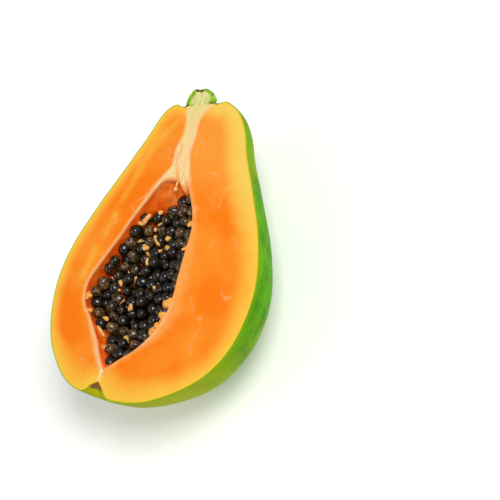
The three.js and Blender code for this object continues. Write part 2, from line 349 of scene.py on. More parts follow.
class Nodes:
    """The node tree of one material."""

    def __init__(self, name: str, *carried: str) -> None:
        """Starts a material.

        Args:
            name: What the real material is.
            carried: Names of the numbers that the mesh carries for it at each point.
        """
        self.material = bpy.data.materials.new(name)
        self.material.use_nodes = True
        self.tree = self.material.node_tree
        self.shader = self.tree.nodes["Principled BSDF"]
        self.place = self.add(Kind.PLACE)
        self.carried = {each: self.add(Kind.CARRIED, attribute_name=each) for each in carried}

    def add(self, kind: Kind, *inputs: Value, **settings: str) -> Socket:
        """Adds a node with its settings and links.

        Args:
            kind: The kind of node.
            inputs: A number, a hex colour or a socket for each input, in the kind's order.
            settings: Other properties of the node.

        Returns:
            The node's output.
        """
        name, fixed, order, output = kind.value
        node = self.tree.nodes.new("ShaderNode" + name)
        for key, setting in {**fixed, **settings}.items():
            setattr(node, key, setting)
        for key, value in zip(order, inputs):
            self.fill(node.inputs[key], value)
        return node.outputs[output]

    def fill(self, socket: Socket, value: Value) -> None:
        """Links an input or sets its value.

        Args:
            socket: The input.
            value: A number, a vector, a hex colour or another node's output.
        """
        if isinstance(value, Socket):
            self.tree.links.new(value, socket)
        else:
            socket.default_value = srgb(value) if isinstance(value, str) else value

    def lay(self, colour: Value, over: Value, value: Socket, low: float, high: float,
            at_low: float = 0.0, at_high: float = 1.0) -> Socket:
        """Lays one colour over another where a value says so.

        Args:
            colour: The colour beneath.
            over: The colour laid over it.
            value: What the share depends on.
            low: The value at which the share is at_low.
            high: The value at which the share is at_high.
            at_low: Share of the upper colour at low.
            at_high: Share of the upper colour at high.

        Returns:
            The colour of both.
        """
        share = self.add(Kind.RAMP, value, low, high, at_low, at_high)
        return self.add(Kind.BLEND, share, colour, over)

    def fray(self, size_mm: float, height: float, detail: float = 3) -> Socket:
        """Noise about 0, which is added to a value to make its edge ragged.

        Args:
            size_mm: Size of the tatters.
            height: How far the noise would reach from lowest to highest.
            detail: How much finer noise it holds.

        Returns:
            The noise.
        """
        cloudy = self.add(Kind.NOISE, self.place, per_metre(size_mm), detail)
        return self.add(Kind.MULTIPLY, self.add(Kind.SUBTRACT, cloudy, 0.5), height)

    def finish(self, **values: Value) -> bpy.types.Material:
        """Sets the shader's inputs.

        Args:
            values: Each input's value, by its name with _ for each space.

        Returns:
            The finished material.
        """
        for key, value in values.items():
            self.fill(self.shader.inputs[key.replace("_", " ")], value)
        return self.material


class Finish:
    """What a surface is made of."""

    def make(self) -> bpy.types.Material:
        """Builds the material."""
        raise NotImplementedError


@dataclass(frozen=True)
class FleshFinish(Finish):
    """Ripe papaya flesh: moist, a little translucent, deep orange that pales towards the rind."""

    deep: str = "#fa7c10"
    middle: str = "#fb9228"
    light: str = "#fa9d3a"
    gold: str = "#fac648"
    pale_gold: str = "#f3cd5e"
    band: str = "#faa652"
    peach: str = "#fcc48e"
    cream: str = "#f6dc9a"
    green_cream: str = "#dcdc8c"
    slit: str = "#dd8f2c"
    wall: str = "#fb5c0c"
    # Painted shade of the cavity's deeper wall.
    wall_shaded: str = "#dc4606"
    neck_wall: str = "#f7741a"
    neck_fibre: str = "#fd9846"
    line_yellow: str = "#eec520"
    line_green: str = "#7fae14"
    dried: str = "#7a3d1a"
    # Sizes of the patterns, in mm.
    cloud: float = 22.0
    tatter: float = 7.0
    rim_tatter: float = 4.0
    core_tatter: float = 3.5
    wall_streak: float = 3.5
    cut_fibre: float = 1.6
    carried: tuple[str, ...] = (
        "rind_mm", "at_seat", "gold", "pale", "neck", "vessel_mm", "rim_share", "lip_share",
        "core", "near_stem", "fibre_across", "fibre_along", "strand_mm", "slit_mm", "depth_mm",
        "neck_end", "corky",
    )

    def make(self) -> bpy.types.Material:
        """Builds the material from the distances that the mesh carries.

        Returns:
            The material.
        """
        n = Nodes("ripe papaya flesh", *self.carried)
        colour = self._vessels(n, self._ground(n))
        colour = n.add(Kind.BLEND, self._wisps(n), colour, self.peach)
        for layer in (self._rim, self._core, self._rind, self._wall):
            colour = layer(n, colour)
        # Cut fibres raise the face by less than a tenth of a millimetre.
        along = n.add(Kind.STRETCH, n.place, (1.0, 0.45, 1.0))
        fibres = n.add(Kind.NOISE, along, per_metre(self.cut_fibre), 5, 0.6)
        moist = n.add(Kind.NOISE, n.place, per_metre(5), 3)
        return n.finish(
            Base_Color=colour,
            Roughness=n.add(Kind.RAMP, moist, 0.3, 0.7, 0.42, 0.6),
            Normal=n.add(Kind.RELIEF, fibres, 0.16 * MM),
            Specular_IOR_Level=0.06,
            Subsurface_Weight=0.2,
            Subsurface_Radius=(1.0, 0.4, 0.12),
            Subsurface_Scale=1.4 * MM,
        )

    def _ground(self, n: Nodes) -> Socket:
        """Mottles the flesh, lighter in the neck and gold along the rind.

        Args:
            n: The material's nodes.

        Returns:
            The colour.
        """
        clouds = n.add(Kind.NOISE, n.place, per_metre(self.cloud), 2)
        colour = n.lay(self.deep, self.middle, clouds, 0.35, 0.7)
        tatters = n.fray(self.tatter, 0.6)
        neck = n.add(Kind.ADD, n.carried["neck"], tatters)
        colour = n.lay(colour, self.light, neck, 0.1, 1.0, 0.0, 0.9)
        gold = n.add(Kind.ADD, n.carried["gold"], n.add(Kind.MULTIPLY, tatters, 0.5))
        colour = n.lay(colour, self.gold, gold, 0.0, 1.1)
        pale = n.add(Kind.MULTIPLY, n.add(Kind.RAMP, gold, 0.15, 0.95), n.carried["pale"])
        return n.add(Kind.BLEND, pale, colour, self.pale_gold)

    def _vessels(self, n: Nodes, colour: Socket) -> Socket:
        """Draws the broken bundle of vessels, 3 mm wide, that runs beside the left edge.

        Args:
            n: The material's nodes.
            colour: The colour beneath.

        Returns:
            The colour with the bundle.
        """
        away = n.add(Kind.ABSOLUTE, n.add(Kind.ADD, n.carried["vessel_mm"], n.fray(14, 4.0, 2)))
        breaks = n.add(Kind.RAMP, n.add(Kind.NOISE, n.place, per_metre(10), 3), 0.3, 0.5)
        share = n.add(Kind.MULTIPLY, n.add(Kind.RAMP, away, 0.0, 3.6, 0.42, 0.0), breaks)
        return n.add(Kind.BLEND, share, colour, self.gold)

    def _wisps(self, n: Nodes) -> Socket:
        """Draws pale curved lines, about 1 by 15 mm, where a soft noise crosses its middle.

        Args:
            n: The material's nodes.

        Returns:
            How much each point lies on a line.
        """
        lines = None
        for shift in (0.11, 0.47):
            at = n.add(Kind.SHIFT, n.place, (shift, 0, 0))
            away = n.add(Kind.SUBTRACT, n.add(Kind.NOISE, at, per_metre(self.cloud), 1), 0.5)
            line = n.add(Kind.RAMP, n.add(Kind.ABSOLUTE, away), 0.0, 0.015, 0.36, 0.0)
            lines = line if lines is None else n.add(Kind.MAXIMUM, lines, line)
        patches = n.add(Kind.RAMP, n.add(Kind.NOISE, n.place, per_metre(11), 2), 0.5, 0.66)
        lines = n.add(Kind.MULTIPLY, lines, patches)
        return n.add(Kind.MULTIPLY, lines, n.add(Kind.RAMP, n.carried["rind_mm"], 9, 14))

    def _rim(self, n: Nodes, colour: Socket) -> Socket:
        """Draws the pale band along the cavity, with its ragged edge and lighter lip.

        Args:
            n: The material's nodes.
            colour: The colour beneath.

        Returns:
            The colour with the band.
        """
        tatters = n.fray(self.rim_tatter, 1.1)
        band = n.add(Kind.ADD, n.carried["rim_share"], tatters)
        colour = n.lay(colour, self.band, band, 0.3, 1.5, 0.85, 0.0)
        lip = n.add(Kind.ADD, n.carried["lip_share"], n.add(Kind.MULTIPLY, tatters, 0.5))
        return n.lay(colour, self.peach, lip, 0.1, 1.1, 0.8, 0.0)

    @staticmethod
    def _fibres(n: Nodes, scale: float, detail: float) -> Socket:
        """Noise in the core's own directions, so that it runs along its fibres."""
        at = n.add(Kind.VECTOR, n.carried["fibre_across"], n.carried["fibre_along"])
        return n.add(Kind.NOISE, at, scale, detail)

    def _core(self, n: Nodes, colour: Socket) -> Socket:
        """Draws cream fibres from the stem to the cavity, greener near the stem, with a dry slit.

        Args:
            n: The material's nodes.
            colour: The colour beneath.

        Returns:
            The colour with the core.
        """
        streaks = n.add(Kind.RAMP, self._fibres(n, 4.0, 4.0), 0.32, 0.62, 0.35, 1.0)
        tissue = n.add(Kind.BLEND, n.carried["near_stem"], self.cream, self.green_cream)
        core = n.add(Kind.ADD, n.carried["core"], n.fray(self.core_tatter, 0.6))
        inside = n.add(Kind.RAMP, n.carried["core"], 0.0, 0.2)
        border = n.add(Kind.RAMP, core, -0.1, 0.5, 0.0, 0.8)
        border = n.add(Kind.MULTIPLY, border, inside)
        colour = n.add(Kind.BLEND, border, colour, self.peach)
        core = n.add(Kind.MULTIPLY, n.add(Kind.RAMP, core, 0.3, 1.1), inside)
        colour = n.add(Kind.BLEND, n.add(Kind.MULTIPLY, core, streaks), colour, tissue)
        colour = n.lay(colour, self.cream, n.carried["strand_mm"], 0.4, 1.3, 0.8, 0.0)
        return n.lay(colour, self.slit, n.carried["slit_mm"], 0.1, 0.5, 0.75, 0.0)

    def _rind(self, n: Nodes, colour: Socket) -> Socket:
        """Draws the rind's thin line, yellow inside and green at the edge, brown where it dried.

        Args:
            n: The material's nodes.
            colour: The colour beneath.

        Returns:
            The colour with the rind.
        """
        rind = n.add(Kind.ADD, n.carried["rind_mm"], n.carried["at_seat"])
        colour = n.lay(colour, self.line_yellow, rind, 0.6, 1.7, 0.6, 0.0)
        colour = n.lay(colour, self.line_green, rind, 0.2, 0.65, 1.0, 0.0)
        edge = n.add(Kind.RAMP, rind, 0.3, 1.3, 0.9, 0.0)
        dried = n.add(Kind.MULTIPLY, n.carried["corky"], edge)
        return n.add(Kind.BLEND, dried, colour, self.dried)

    def _wall(self, n: Nodes, colour: Socket) -> Socket:
        """Colours the cavity red-orange, darker deeper down as painted shade, streaked with paler
        flesh and pale at its neck end.

        Args:
            n: The material's nodes.
            colour: The colour of the cut.

        Returns:
            The colour of the cut and the cavity.
        """
        depth = n.carried["depth_mm"]
        along = n.add(Kind.STRETCH, n.place, (1.0, 0.5, 0.6))
        streaks = n.add(Kind.NOISE, along, per_metre(self.wall_streak), 3)
        streaks = n.add(Kind.RAMP, streaks, 0.42, 0.66)
        # Painted shade: the wall darkens with depth, from 2 to 14 mm under the cut.
        wall = n.lay(self.wall, self.wall_shaded, depth, 2, 14)
        wall = n.add(Kind.BLEND, n.add(Kind.MULTIPLY, streaks, 0.4), wall, self.middle)
        neck = n.lay(self.neck_wall, self.neck_fibre, self._fibres(n, 3.0, 3.0), 0.4, 0.62)
        wall = n.add(Kind.BLEND, n.carried["neck_end"], wall, neck)
        return n.lay(colour, wall, depth, 0.3, 1.8)


@dataclass(frozen=True)
class SkinFinish(Finish):
    """Thin waxy papaya skin: green, ripening to olive yellow in soft patches."""

    green: str = "#66b206"
    dark: str = "#34820a"
    ripe: str = "#b8b80c"
    speck: str = "#a6c44a"
    scar: str = "#8c6038"
    # Sizes of the patterns, in mm.
    ripe_patch: float = 38.0
    streak: float = 3.2
    cloud: float = 16.0
    pore_pitch: float = 2.0
    scar_pitch: float = 24.0

    def make(self) -> bpy.types.Material:
        """Builds the material.

        Returns:
            The material.
        """
        n = Nodes("waxy papaya skin", "ripe", "corky")
        colour = n.add(Kind.BLEND, self._marks(n), self._ground(n), self.scar)
        # Pores and swells of the skin, in two sizes of low relief.
        fine = n.add(Kind.NOISE, n.place, per_metre(0.9), 3)
        fine = n.add(Kind.RELIEF, fine, 0.05 * MM)
        swells = n.add(Kind.NOISE, n.place, per_metre(9), 2)
        wax = n.add(Kind.NOISE, n.place, per_metre(6), 3)
        return n.finish(
            Base_Color=colour,
            Roughness=n.add(Kind.RAMP, wax, 0.3, 0.7, 0.4, 0.55),
            Normal=n.add(Kind.RELIEF, swells, 0.35 * MM, fine),
            Specular_IOR_Level=0.02,
            Subsurface_Weight=0.05,
            Subsurface_Radius=(0.5, 1.0, 0.2),
            Subsurface_Scale=1.0 * MM,
        )

    def _ground(self, n: Nodes) -> Socket:
        """Mottles the skin.

        Args:
            n: The material's nodes.

        Returns:
            The colour.
        """
        # Patches of 38 mm ripen first, and streaks of 3 by 25 mm run lengthwise.
        ripe = n.add(Kind.NOISE, n.place, per_metre(self.ripe_patch), 3, 0.55)
        ripe = n.add(Kind.MULTIPLY, n.add(Kind.RAMP, ripe, 0.44, 0.68), 0.45)
        ripe = n.add(Kind.MAXIMUM, ripe, n.carried["ripe"])
        along = n.add(Kind.STRETCH, n.place, (1.0, 0.13, 1.0))
        streaks = n.add(Kind.NOISE, along, per_metre(self.streak), 5, 0.6)
        streaks = n.add(Kind.MULTIPLY, n.add(Kind.RAMP, streaks, 0.4, 0.62), 0.5)
        clouds = n.add(Kind.NOISE, n.place, per_metre(self.cloud), 3, 0.6)
        clouds = n.add(Kind.RAMP, clouds, 0.36, 0.66)
        dark = n.add(Kind.MULTIPLY, n.add(Kind.ADD, streaks, clouds), 0.62)
        colour = n.add(Kind.BLEND, dark, self.green, self.dark)
        colour = n.add(Kind.BLEND, ripe, colour, self.ripe)
        # Pores of 0.4 mm, paler than the skin, lie 2 mm apart.
        pores = n.add(Kind.CELLS, n.place, per_metre(self.pore_pitch))
        return n.lay(colour, self.speck, pores, 0.1, 0.24, 0.35, 0.0)

    def _marks(self, n: Nodes) -> Socket:
        """Places the corky dots, rubbed spots and dried edges.

        Args:
            n: The material's nodes.

        Returns:
            How corky each point is.
        """
        scars = n.add(Kind.CELLS, n.place, per_metre(self.scar_pitch))
        scars = n.add(Kind.MULTIPLY, n.add(Kind.RAMP, scars, 0.03, 0.07, 1.0, 0.0), 0.8)
        rubbed = n.add(Kind.NOISE, n.place, per_metre(11), 4, 0.6)
        rubbed = n.add(Kind.RAMP, rubbed, 0.68, 0.76, 0.0, 0.4)
        cork = n.add(Kind.ADD, n.carried["corky"], n.fray(2, 1.4))
        near = n.add(Kind.RAMP, n.carried["corky"], 0.0, 0.2)
        cork = n.add(Kind.MULTIPLY, n.add(Kind.RAMP, cork, 0.3, 0.7), near)
        return n.add(Kind.MAXIMUM, n.add(Kind.MAXIMUM, scars, rubbed), cork)


@dataclass(frozen=True)
class SeedFinish(Finish):
    """Dark seeds, finely wrinkled, under a thin wet coat of jelly."""

    black: str = "#050403"
    brown: str = "#38260f"
    # Olive-brown of the painted highlights along the ridges.
    ridge: str = "#a27d4a"
    ridge_pitch: float = 1.3
    wrinkle: float = 1.1

    def make(self) -> bpy.types.Material:
        """Builds the material.

        Returns:
            The material.
        """
        n = Nodes("papaya seeds in wet jelly", "tint_and_depth_shade")
        # The carried tint holds painted shade: seeds lying deep in the hollow are darker.
        browned_and_shaded = n.add(Kind.ADD, n.carried["tint_and_depth_shade"], n.fray(3, 1.6, 2))
        colour = n.lay(self.black, self.brown, browned_and_shaded, 0.05, 0.9)
        # Painted highlights: ridges about a millimetre apart are painted as olive-brown lines where
        # they would catch the light.
        ridge_highlights = n.add(Kind.NOISE, n.place, per_metre(self.ridge_pitch), 3, 0.6, 0.8)
        ridge_highlights = n.add(Kind.RAMP, ridge_highlights, 0.5, 0.6)
        shown = n.add(Kind.RAMP, browned_and_shaded, 0.0, 0.95, 0.03, 0.8)
        colour = n.add(Kind.BLEND, n.add(Kind.MULTIPLY, ridge_highlights, shown), colour, self.ridge)
        wrinkles = n.add(Kind.NOISE, n.place, per_metre(self.wrinkle), 4, 0.6)
        # The jelly fills the wrinkles, so its own surface is far smoother.
        jelly = n.add(Kind.NOISE, n.place, per_metre(2.4), 1)
        return n.finish(
            Base_Color=colour,
            Roughness=0.36,
            Normal=n.add(Kind.RELIEF, wrinkles, 0.5 * MM),
            Specular_IOR_Level=0.12,
            Coat_Weight=1.0,
            Coat_Roughness=0.08,
            Coat_IOR=1.45,
            Coat_Normal=n.add(Kind.RELIEF, jelly, 0.12 * MM),
        )


@dataclass(frozen=True)
class PulpFinish(Finish):
    """Soft tissue the seeds grow from: orange at the wall, wet, and painted near-black as shade
    where it lies deep.
    """

    wall: str = "#e2560f"
    # Painted shade: the near-black of the deep gaps between the seeds.
    deep: str = "#1a0f08"
    strand: str = "#e9b25a"
    strand_size: float = 2.4

    def make(self) -> bpy.types.Material:
        """Builds the material.

        Returns:
            The material.
        """
        n = Nodes("pulp with painted shade between the seeds", "near_wall")
        near_wall = n.carried["near_wall"]
        ragged = n.add(Kind.ADD, near_wall, n.fray(5, 1.0))
        # Away from the walls the tissue is painted near-black as shade.
        colour = n.lay(self.deep, self.wall, ragged, 0.2, 0.7)
        strands = n.add(Kind.NOISE, n.place, per_metre(self.strand_size), 4, 0.6)
        strands = n.add(Kind.RAMP, strands, 0.54, 0.66, 0.0, 0.8)
        strands = n.add(Kind.MULTIPLY, strands, n.add(Kind.RAMP, near_wall, 0.0, 0.6))
        colour = n.add(Kind.BLEND, strands, colour, self.strand)
        relief = n.add(Kind.NOISE, n.place, per_metre(1.8), 4)
        return n.finish(
            Base_Color=colour,
            Roughness=0.3,
            Normal=n.add(Kind.RELIEF, relief, 0.5 * MM),
            Subsurface_Weight=0.15,
            Subsurface_Radius=(1.0, 0.35, 0.1),
            Subsurface_Scale=1.5 * MM,
        )


@dataclass(frozen=True)
class TissueFinish(Finish):
    """Moist plant tissue in two close colours, for placenta lumps and seed stalks."""

    name: str
    light: str
    dark: str
    grain_mm: float = 1.4

    def make(self) -> bpy.types.Material:
        """Builds the material.

        Returns:
            The material.
        """
        n = Nodes(self.name)
        grain = n.add(Kind.NOISE, n.place, per_metre(self.grain_mm), 4)
        return n.finish(
            Base_Color=n.lay(self.dark, self.light, grain, 0.38, 0.64),
            Roughness=n.add(Kind.RAMP, grain, 0.3, 0.7, 0.28, 0.46),
            Normal=n.add(Kind.RELIEF, grain, 0.2 * MM),
            Subsurface_Weight=0.3,
            Subsurface_Radius=(1.0, 0.5, 0.2),
            Subsurface_Scale=1.2 * MM,
        )


@dataclass(frozen=True)
class CoreTissueFinish(Finish):
    """Pale fibrous tissue of the core, deeper orange where it ends in the cavity."""

    cream: str = "#fadc9c"
    peach: str = "#fcb974"
    end: str = "#f5822e"
    fibre: float = 1.8

    def make(self) -> bpy.types.Material:
        """Builds the material.

        Returns:
            The material.
        """
        n = Nodes("core tissue of papaya", "lower")
        # Fibres 2 mm wide run lengthwise.
        along = n.add(Kind.STRETCH, n.place, (1.0, 0.25, 1.0))
        grain = n.add(Kind.NOISE, along, per_metre(self.fibre), 3)
        colour = n.lay(self.peach, self.cream, grain, 0.36, 0.62)
        return n.finish(
            Base_Color=n.lay(colour, self.end, n.carried["lower"], 0.1, 0.9),
            Roughness=0.42,
            Normal=n.add(Kind.RELIEF, grain, 0.15 * MM),
            Specular_IOR_Level=0.2,
            Subsurface_Weight=0.3,
            Subsurface_Radius=(1.0, 0.5, 0.2),
            Subsurface_Scale=1.2 * MM,
        )


@dataclass(frozen=True)
class StemFinish(Finish):
    """Green stem stub: fibrous cream inside the cut, corky brown where it dried."""

    green: str = "#9ccc1c"
    dark: str = "#6aa60e"
    cream: str = "#ecdf9c"
    fibre: str = "#cacb74"
    cork: str = "#5b3f1c"
    mottle_size: float = 3.5
    fibre_size: float = 0.9

    def make(self) -> bpy.types.Material:
        """Builds the material.

        Returns:
            The material.
        """
        n = Nodes("fresh papaya stem", "inner", "dried")
        mottle = n.add(Kind.NOISE, n.place, per_metre(self.mottle_size), 4)
        bark = n.lay(self.dark, self.green, mottle, 0.4, 0.65)
        along = n.add(Kind.STRETCH, n.place, (1.0, 0.16, 1.0))
        fibres = n.add(Kind.NOISE, along, per_metre(self.fibre_size), 3)
        inside = n.lay(self.cream, self.fibre, fibres, 0.4, 0.62)
        tatters = n.fray(2.5, 1.0)
        inner = n.add(Kind.ADD, n.carried["inner"], tatters)
        colour = n.lay(bark, inside, inner, 0.2, 0.75)
        dried = n.add(Kind.ADD, n.carried["dried"], n.add(Kind.MULTIPLY, tatters, 1.6))
        grain = n.add(Kind.NOISE, along, per_metre(1.2), 4, 0.6)
        return n.finish(
            Base_Color=n.lay(colour, self.cork, dried, 0.55, 0.8),
            Roughness=0.58,
            Normal=n.add(Kind.RELIEF, grain, 0.3 * MM),
            Specular_IOR_Level=0.3,
            Subsurface_Weight=0.1,
            Subsurface_Radius=(0.6, 1.0, 0.2),
            Subsurface_Scale=1.0 * MM,
        )


@dataclass
class Piece:
    """One shown piece of the half, made in mm in the cut's frame."""

    name: str = "piece"
    slot: str = "flesh"
    replaced: tuple[str, ...] = ()
    finishes: tuple[Finish, ...] = ()

    def __post_init__(self) -> None:
        """Starts with an empty mesh in work."""
        self.work = bmesh.new()
        self.object: bpy.types.Object | None = None

    def build(self) -> None:
        """Makes the shape."""
        raise NotImplementedError

    def dress(self) -> None:
        """Gives the piece its materials."""
        for finish in self.finishes:
            self.object.data.materials.append(finish.make())

    def make(self) -> bpy.types.Object:
        """Builds, places and dresses the piece.

        Returns:
            The finished object, riding on the part's body.
        """
        self.build()
        mesh = bpy.data.meshes.new(self.name)
        self.work.to_mesh(mesh)
        self.work.free()
        self.weigh(mesh)
        mesh.transform(Matrix.Scale(MM, 4) @ Matrix.Translation(TO_PART))
        self.object = bpy.data.objects.new(self.name, mesh)
        bpy.context.scene.collection.objects.link(self.object)
        self.dress()
        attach(self.object, BODY)
        if self.replaced:
            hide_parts(*self.replaced)
        triangles = sum(len(face.vertices) - 2 for face in mesh.polygons)
        LOG.info("%s: %d triangles", self.name, triangles)
        return self.object

    def weigh(self, mesh: bpy.types.Mesh) -> None:
        """Adds the numbers that the material reads, while the mesh is still in mm."""

    def shade_smooth(self) -> None:
        """Shades every face smooth."""
        for face in self.work.faces:
            face.smooth = True

    def halve(self, height: float, normal: tuple[float, float, float], nearest: float) -> None:
        """Cuts away all that lies beyond a plane.

        Args:
            height: A height, in mm, at which the plane meets the Z axis.
            normal: Its direction, towards what is cut away.
            nearest: How near a point counts as on the plane.
        """
        bm = self.work
        bmesh.ops.bisect_plane(
            bm, geom=bm.verts[:] + bm.edges[:] + bm.faces[:], dist=nearest,
            plane_co=(0, 0, height), plane_no=normal, clear_outer=True,
        )

    def close_seams(self, nearest: float = WELD) -> None:
        """Merges points that are nearer to each other than that, and turns the faces outwards."""
        bmesh.ops.remove_doubles(self.work, verts=self.work.verts[:], dist=nearest)
        bmesh.ops.recalc_face_normals(self.work, faces=self.work.faces[:])

    @staticmethod
    def points(mesh: bpy.types.Mesh) -> np.ndarray:
        """Reads the mesh's points.

        Args:
            mesh: The mesh.

        Returns:
            Rows of x, y, z.
        """
        flat = np.empty(len(mesh.vertices) * 3)
        mesh.vertices.foreach_get("co", flat)
        return flat.reshape(-1, 3)

    @staticmethod
    def carry(mesh: bpy.types.Mesh, name: str, values: np.ndarray) -> None:
        """Stores one number for each point of the mesh."""
        layer = mesh.attributes.new(name, "FLOAT", "POINT")
        layer.data.foreach_set("value", np.asarray(values, dtype=np.float32))


def soft(values: np.ndarray, low: float, high: float) -> np.ndarray:
    """The array form of smooth()."""
    t = np.clip((values - low) / (high - low), 0.0, 1.0)
    return t * t * (3.0 - 2.0 * t)


def distance_to_line(points: np.ndarray, line: np.ndarray) -> np.ndarray:
    """Measures how far points lie from a line of straight steps.

    Args:
        points: Rows of x, y.
        line: Rows of x, y, in order along the line.

    Returns:
        One distance for each point.
    """
    best = np.full(len(points), np.inf)
    for start, end in zip(line[:-1], line[1:]):
        step = end - start
        share = np.clip((points - start) @ step / max(step @ step, 1e-12), 0.0, 1.0)
        away = points - (start + share[:, None] * step)
        best = np.minimum(best, np.einsum("ij,ij->i", away, away))
    return np.sqrt(best)


class Zone(Enum):
    """The surfaces of the half, by the number of their material."""

    SKIN = 0
    FLESH = 1


@dataclass
class PapayaHalf(Piece):
    """Flesh and skin in one mesh: the round back, the cut face and the seed cavity."""

    name: str = "papaya_flesh_and_skin"
    slot: str = "flesh"
    replaced: tuple[str, ...] = ("papaya_half",)
    finishes: tuple[Finish, ...] = (SkinFinish(), FleshFinish())
    length_steps: int = 240
    back_steps: int = 84
    face_rings: int = 44
    wall_rings: int = 44
    outline_steps: int = 320
    rim_steps: int = 240
    rim_round: float = 1.3
    # Where the wall starts under the rim, as a share of its way down, and how its rings spread.
    wall_start: float = 0.04
    wall_spread: float = 1.25
    # Swells of the skin, and of the wall where seeds grow: height, size and seed, in mm.
    skin_swells: Swells = ((0.35, 26, 3), (0.12, 9, 8))
    wall_swells: Swells = ((0.55, 4.5, 5), (0.25, 1.8, 9))
    # The fibrous core in the cut: Y, X of its middle and half its width, in mm.
    core: tuple[tuple[float, float, float], ...] = (
        (35.0, -3.0, 10.5), (40.0, -3.0, 8.4), (44.5, -3.2, 6.2), (48.0, -3.7, 5.2),
        (55.5, -5.8, 4.5), (64.0, -5.0, 3.8), (71.0, -5.9, 3.9), (74.5, -6.6, 4.8),
        (80.0, -5.8, 7.4), (84.0, -5.4, 8.6),
    )
    # One unit of the fibres' pattern is this long, in mm, and half the core's width across.
    fibre_length: float = 26.0
    # Lines in the cut, as X, Y points in mm: the left bundle of vessels, pale strands, the slit.
    vessels: tuple[Line, ...] = (
        ((-11.8, 73.9), (-15.8, 68.2), (-21.3, 59.8), (-24.2, 51.5), (-27.0, 38.0),
         (-30.5, 22.8), (-35.0, 0.9), (-37.5, -16.0)),
    )
    strands: tuple[Line, ...] = (
        ((-8.1, -57.0), (-8.1, -61.8), (-7.8, -64.4)),
        ((-8.4, 46.3), (-10.8, 41.6), (-13.3, 35.6)),
    )
    slits: tuple[Line, ...] = (((-7.5, 59.6), (-6.9, 57.2), (-7.0, 52.3), (-6.8, 47.5)),)

    def build(self) -> None:
        """Shapes the back from a ball, then draws its edge in over the face and down the wall."""
        bm = self.work
        bmesh.ops.create_uvsphere(
            bm, u_segments=2 * self.back_steps, v_segments=self.length_steps, radius=1.0
        )
        self.halve(0.0, (0, 1, 0), 1e-5)
        self.along = bm.verts.layers.float.new("along")
        self.angle = bm.verts.layers.float.new("angle")
        for vert in bm.verts:
            self._place_on_skin(vert)
        self.shade_smooth()
        edge = [e for e in bm.edges if e.is_boundary]
        for e in edge:
            e.smooth = False
        edge = self._draw_in(edge, self.face_rings, self._face_point)
        self._draw_in(edge, self.wall_rings, self._wall_point)
        self.close_seams()

    def _place_on_skin(self, vert: bmesh.types.BMVert) -> None:
        """Moves a point of the ball to the skin and notes where on the fruit it is.

        Args:
            vert: The point.
        """
        x, y, z = vert.co
        along = 1.0 - math.acos(min(max(z, -1.0), 1.0)) / math.pi
        angle = abs(math.atan2(y, x)) if math.hypot(x, y) > 1e-6 else 0.0
        vert[self.along] = along
        vert[self.angle] = angle
        point = FORM.skin_point(along, angle)
        rise = swell(point, self.skin_swells)
        away = Vector((point.x - FORM.axis_x(point.y), 0, point.z))
        # The cut's edge and both ends stay where the outline has them.
        fade = smooth(math.sin(angle), 0.02, 0.5) * smooth(away.length, 4, 16)
        if away.length > 0:
            point += away.normalized() * rise * fade
        # The fruit's own weight presses a small flat spot where it rests.
        point.z = max(point.z, -FACE_HEIGHT)
        vert.co = point

    def _draw_in(self, edge: Edges, rings: int, place: RingPlace) -> Edges:
        """Extrudes an open edge ring by ring, as flesh.

        Args:
            edge: The edges of the open border.
            rings: How many rings to add.
            place: Gives a point from a vertex and its share of the way, 0 to 1.

        Returns:
            The edges of the new open border.
        """
        for ring in range(1, rings + 1):
            grown = bmesh.ops.extrude_edge_only(self.work, edges=edge)["geom"]
            for item in grown:
                if isinstance(item, bmesh.types.BMVert):
                    item.co = place(item, ring / rings)
                elif isinstance(item, bmesh.types.BMFace):
                    item.material_index = Zone.FLESH.value
                    item.smooth = True
            edge = [g for g in grown if isinstance(g, bmesh.types.BMEdge) and g.is_boundary]
        return edge

    def _side(self, vert: bmesh.types.BMVert) -> float:
        """0 on the right edge of the cut, pi on the left edge."""
        return 0.0 if vert[self.angle] < math.pi / 2 else math.pi

    def _face_point(self, vert: bmesh.types.BMVert, share: float) -> Vector:
        """Finds a point of the cut face, with rings closest at the rind and at the cavity.

        Args:
            vert: The vertex, which knows its place along the fruit.
            share: 0 at the rind, 1 at the cavity.

        Returns:
            The point, in mm.
        """
        even = 0.5 - 0.5 * math.cos(math.pi * share)
        start = FORM.skin_point(vert[self.along], self._side(vert))
        end = FORM.cavity_point(vert[self.along], self._side(vert))
        point = start.lerp(end, even)
        left = (1.0 - even) * (end - start).length
        if left < self.rim_round:
            short = self.rim_round - left
            point.z -= self.rim_round - math.sqrt(max(self.rim_round**2 - short**2, 0.0))
        return point

    def _wall_point(self, vert: bmesh.types.BMVert, share: float) -> Vector:
        """Finds a point of the cavity's wall, with the small swells that seeds grow from.

        Args:
            vert: The vertex, which knows its place along the fruit.
            share: 0 at the rim, 1 in the middle of the wall.

        Returns:
            The point, in mm.
        """
        side = self._side(vert)
        middle = math.pi / 2
        start = side + (middle - side) * self.wall_start
        angle = start + (middle - start) * share**self.wall_spread
        point = FORM.cavity_point(vert[self.along], angle)
        point.z = min(point.z, -self.rim_round)
        inward = Vector((FORM.axis_x(point.y) - point.x, 0, -point.z))
        # The last ring meets its mirror image, so it has no swells.
        if inward.length > 1 and share < 0.999:
            rise = inward.normalized() * swell(point, self.wall_swells)
            point += rise * smooth(share, 0.0, 0.15)
        return point

    @staticmethod
    def _outline(place: Callable[[float, float], Vector], steps: int) -> np.ndarray:
        """Follows a border in the cut.

        Args:
            place: Gives a point from its place along the fruit and its angle.
            steps: Steps on each side.

        Returns:
            Rows of x, y.
        """
        right = [place(i / steps, 0.0) for i in range(steps + 1)]
        left = [place(i / steps, math.pi) for i in range(steps, -1, -1)]
        return np.array([(p.x, p.y) for p in right + left])

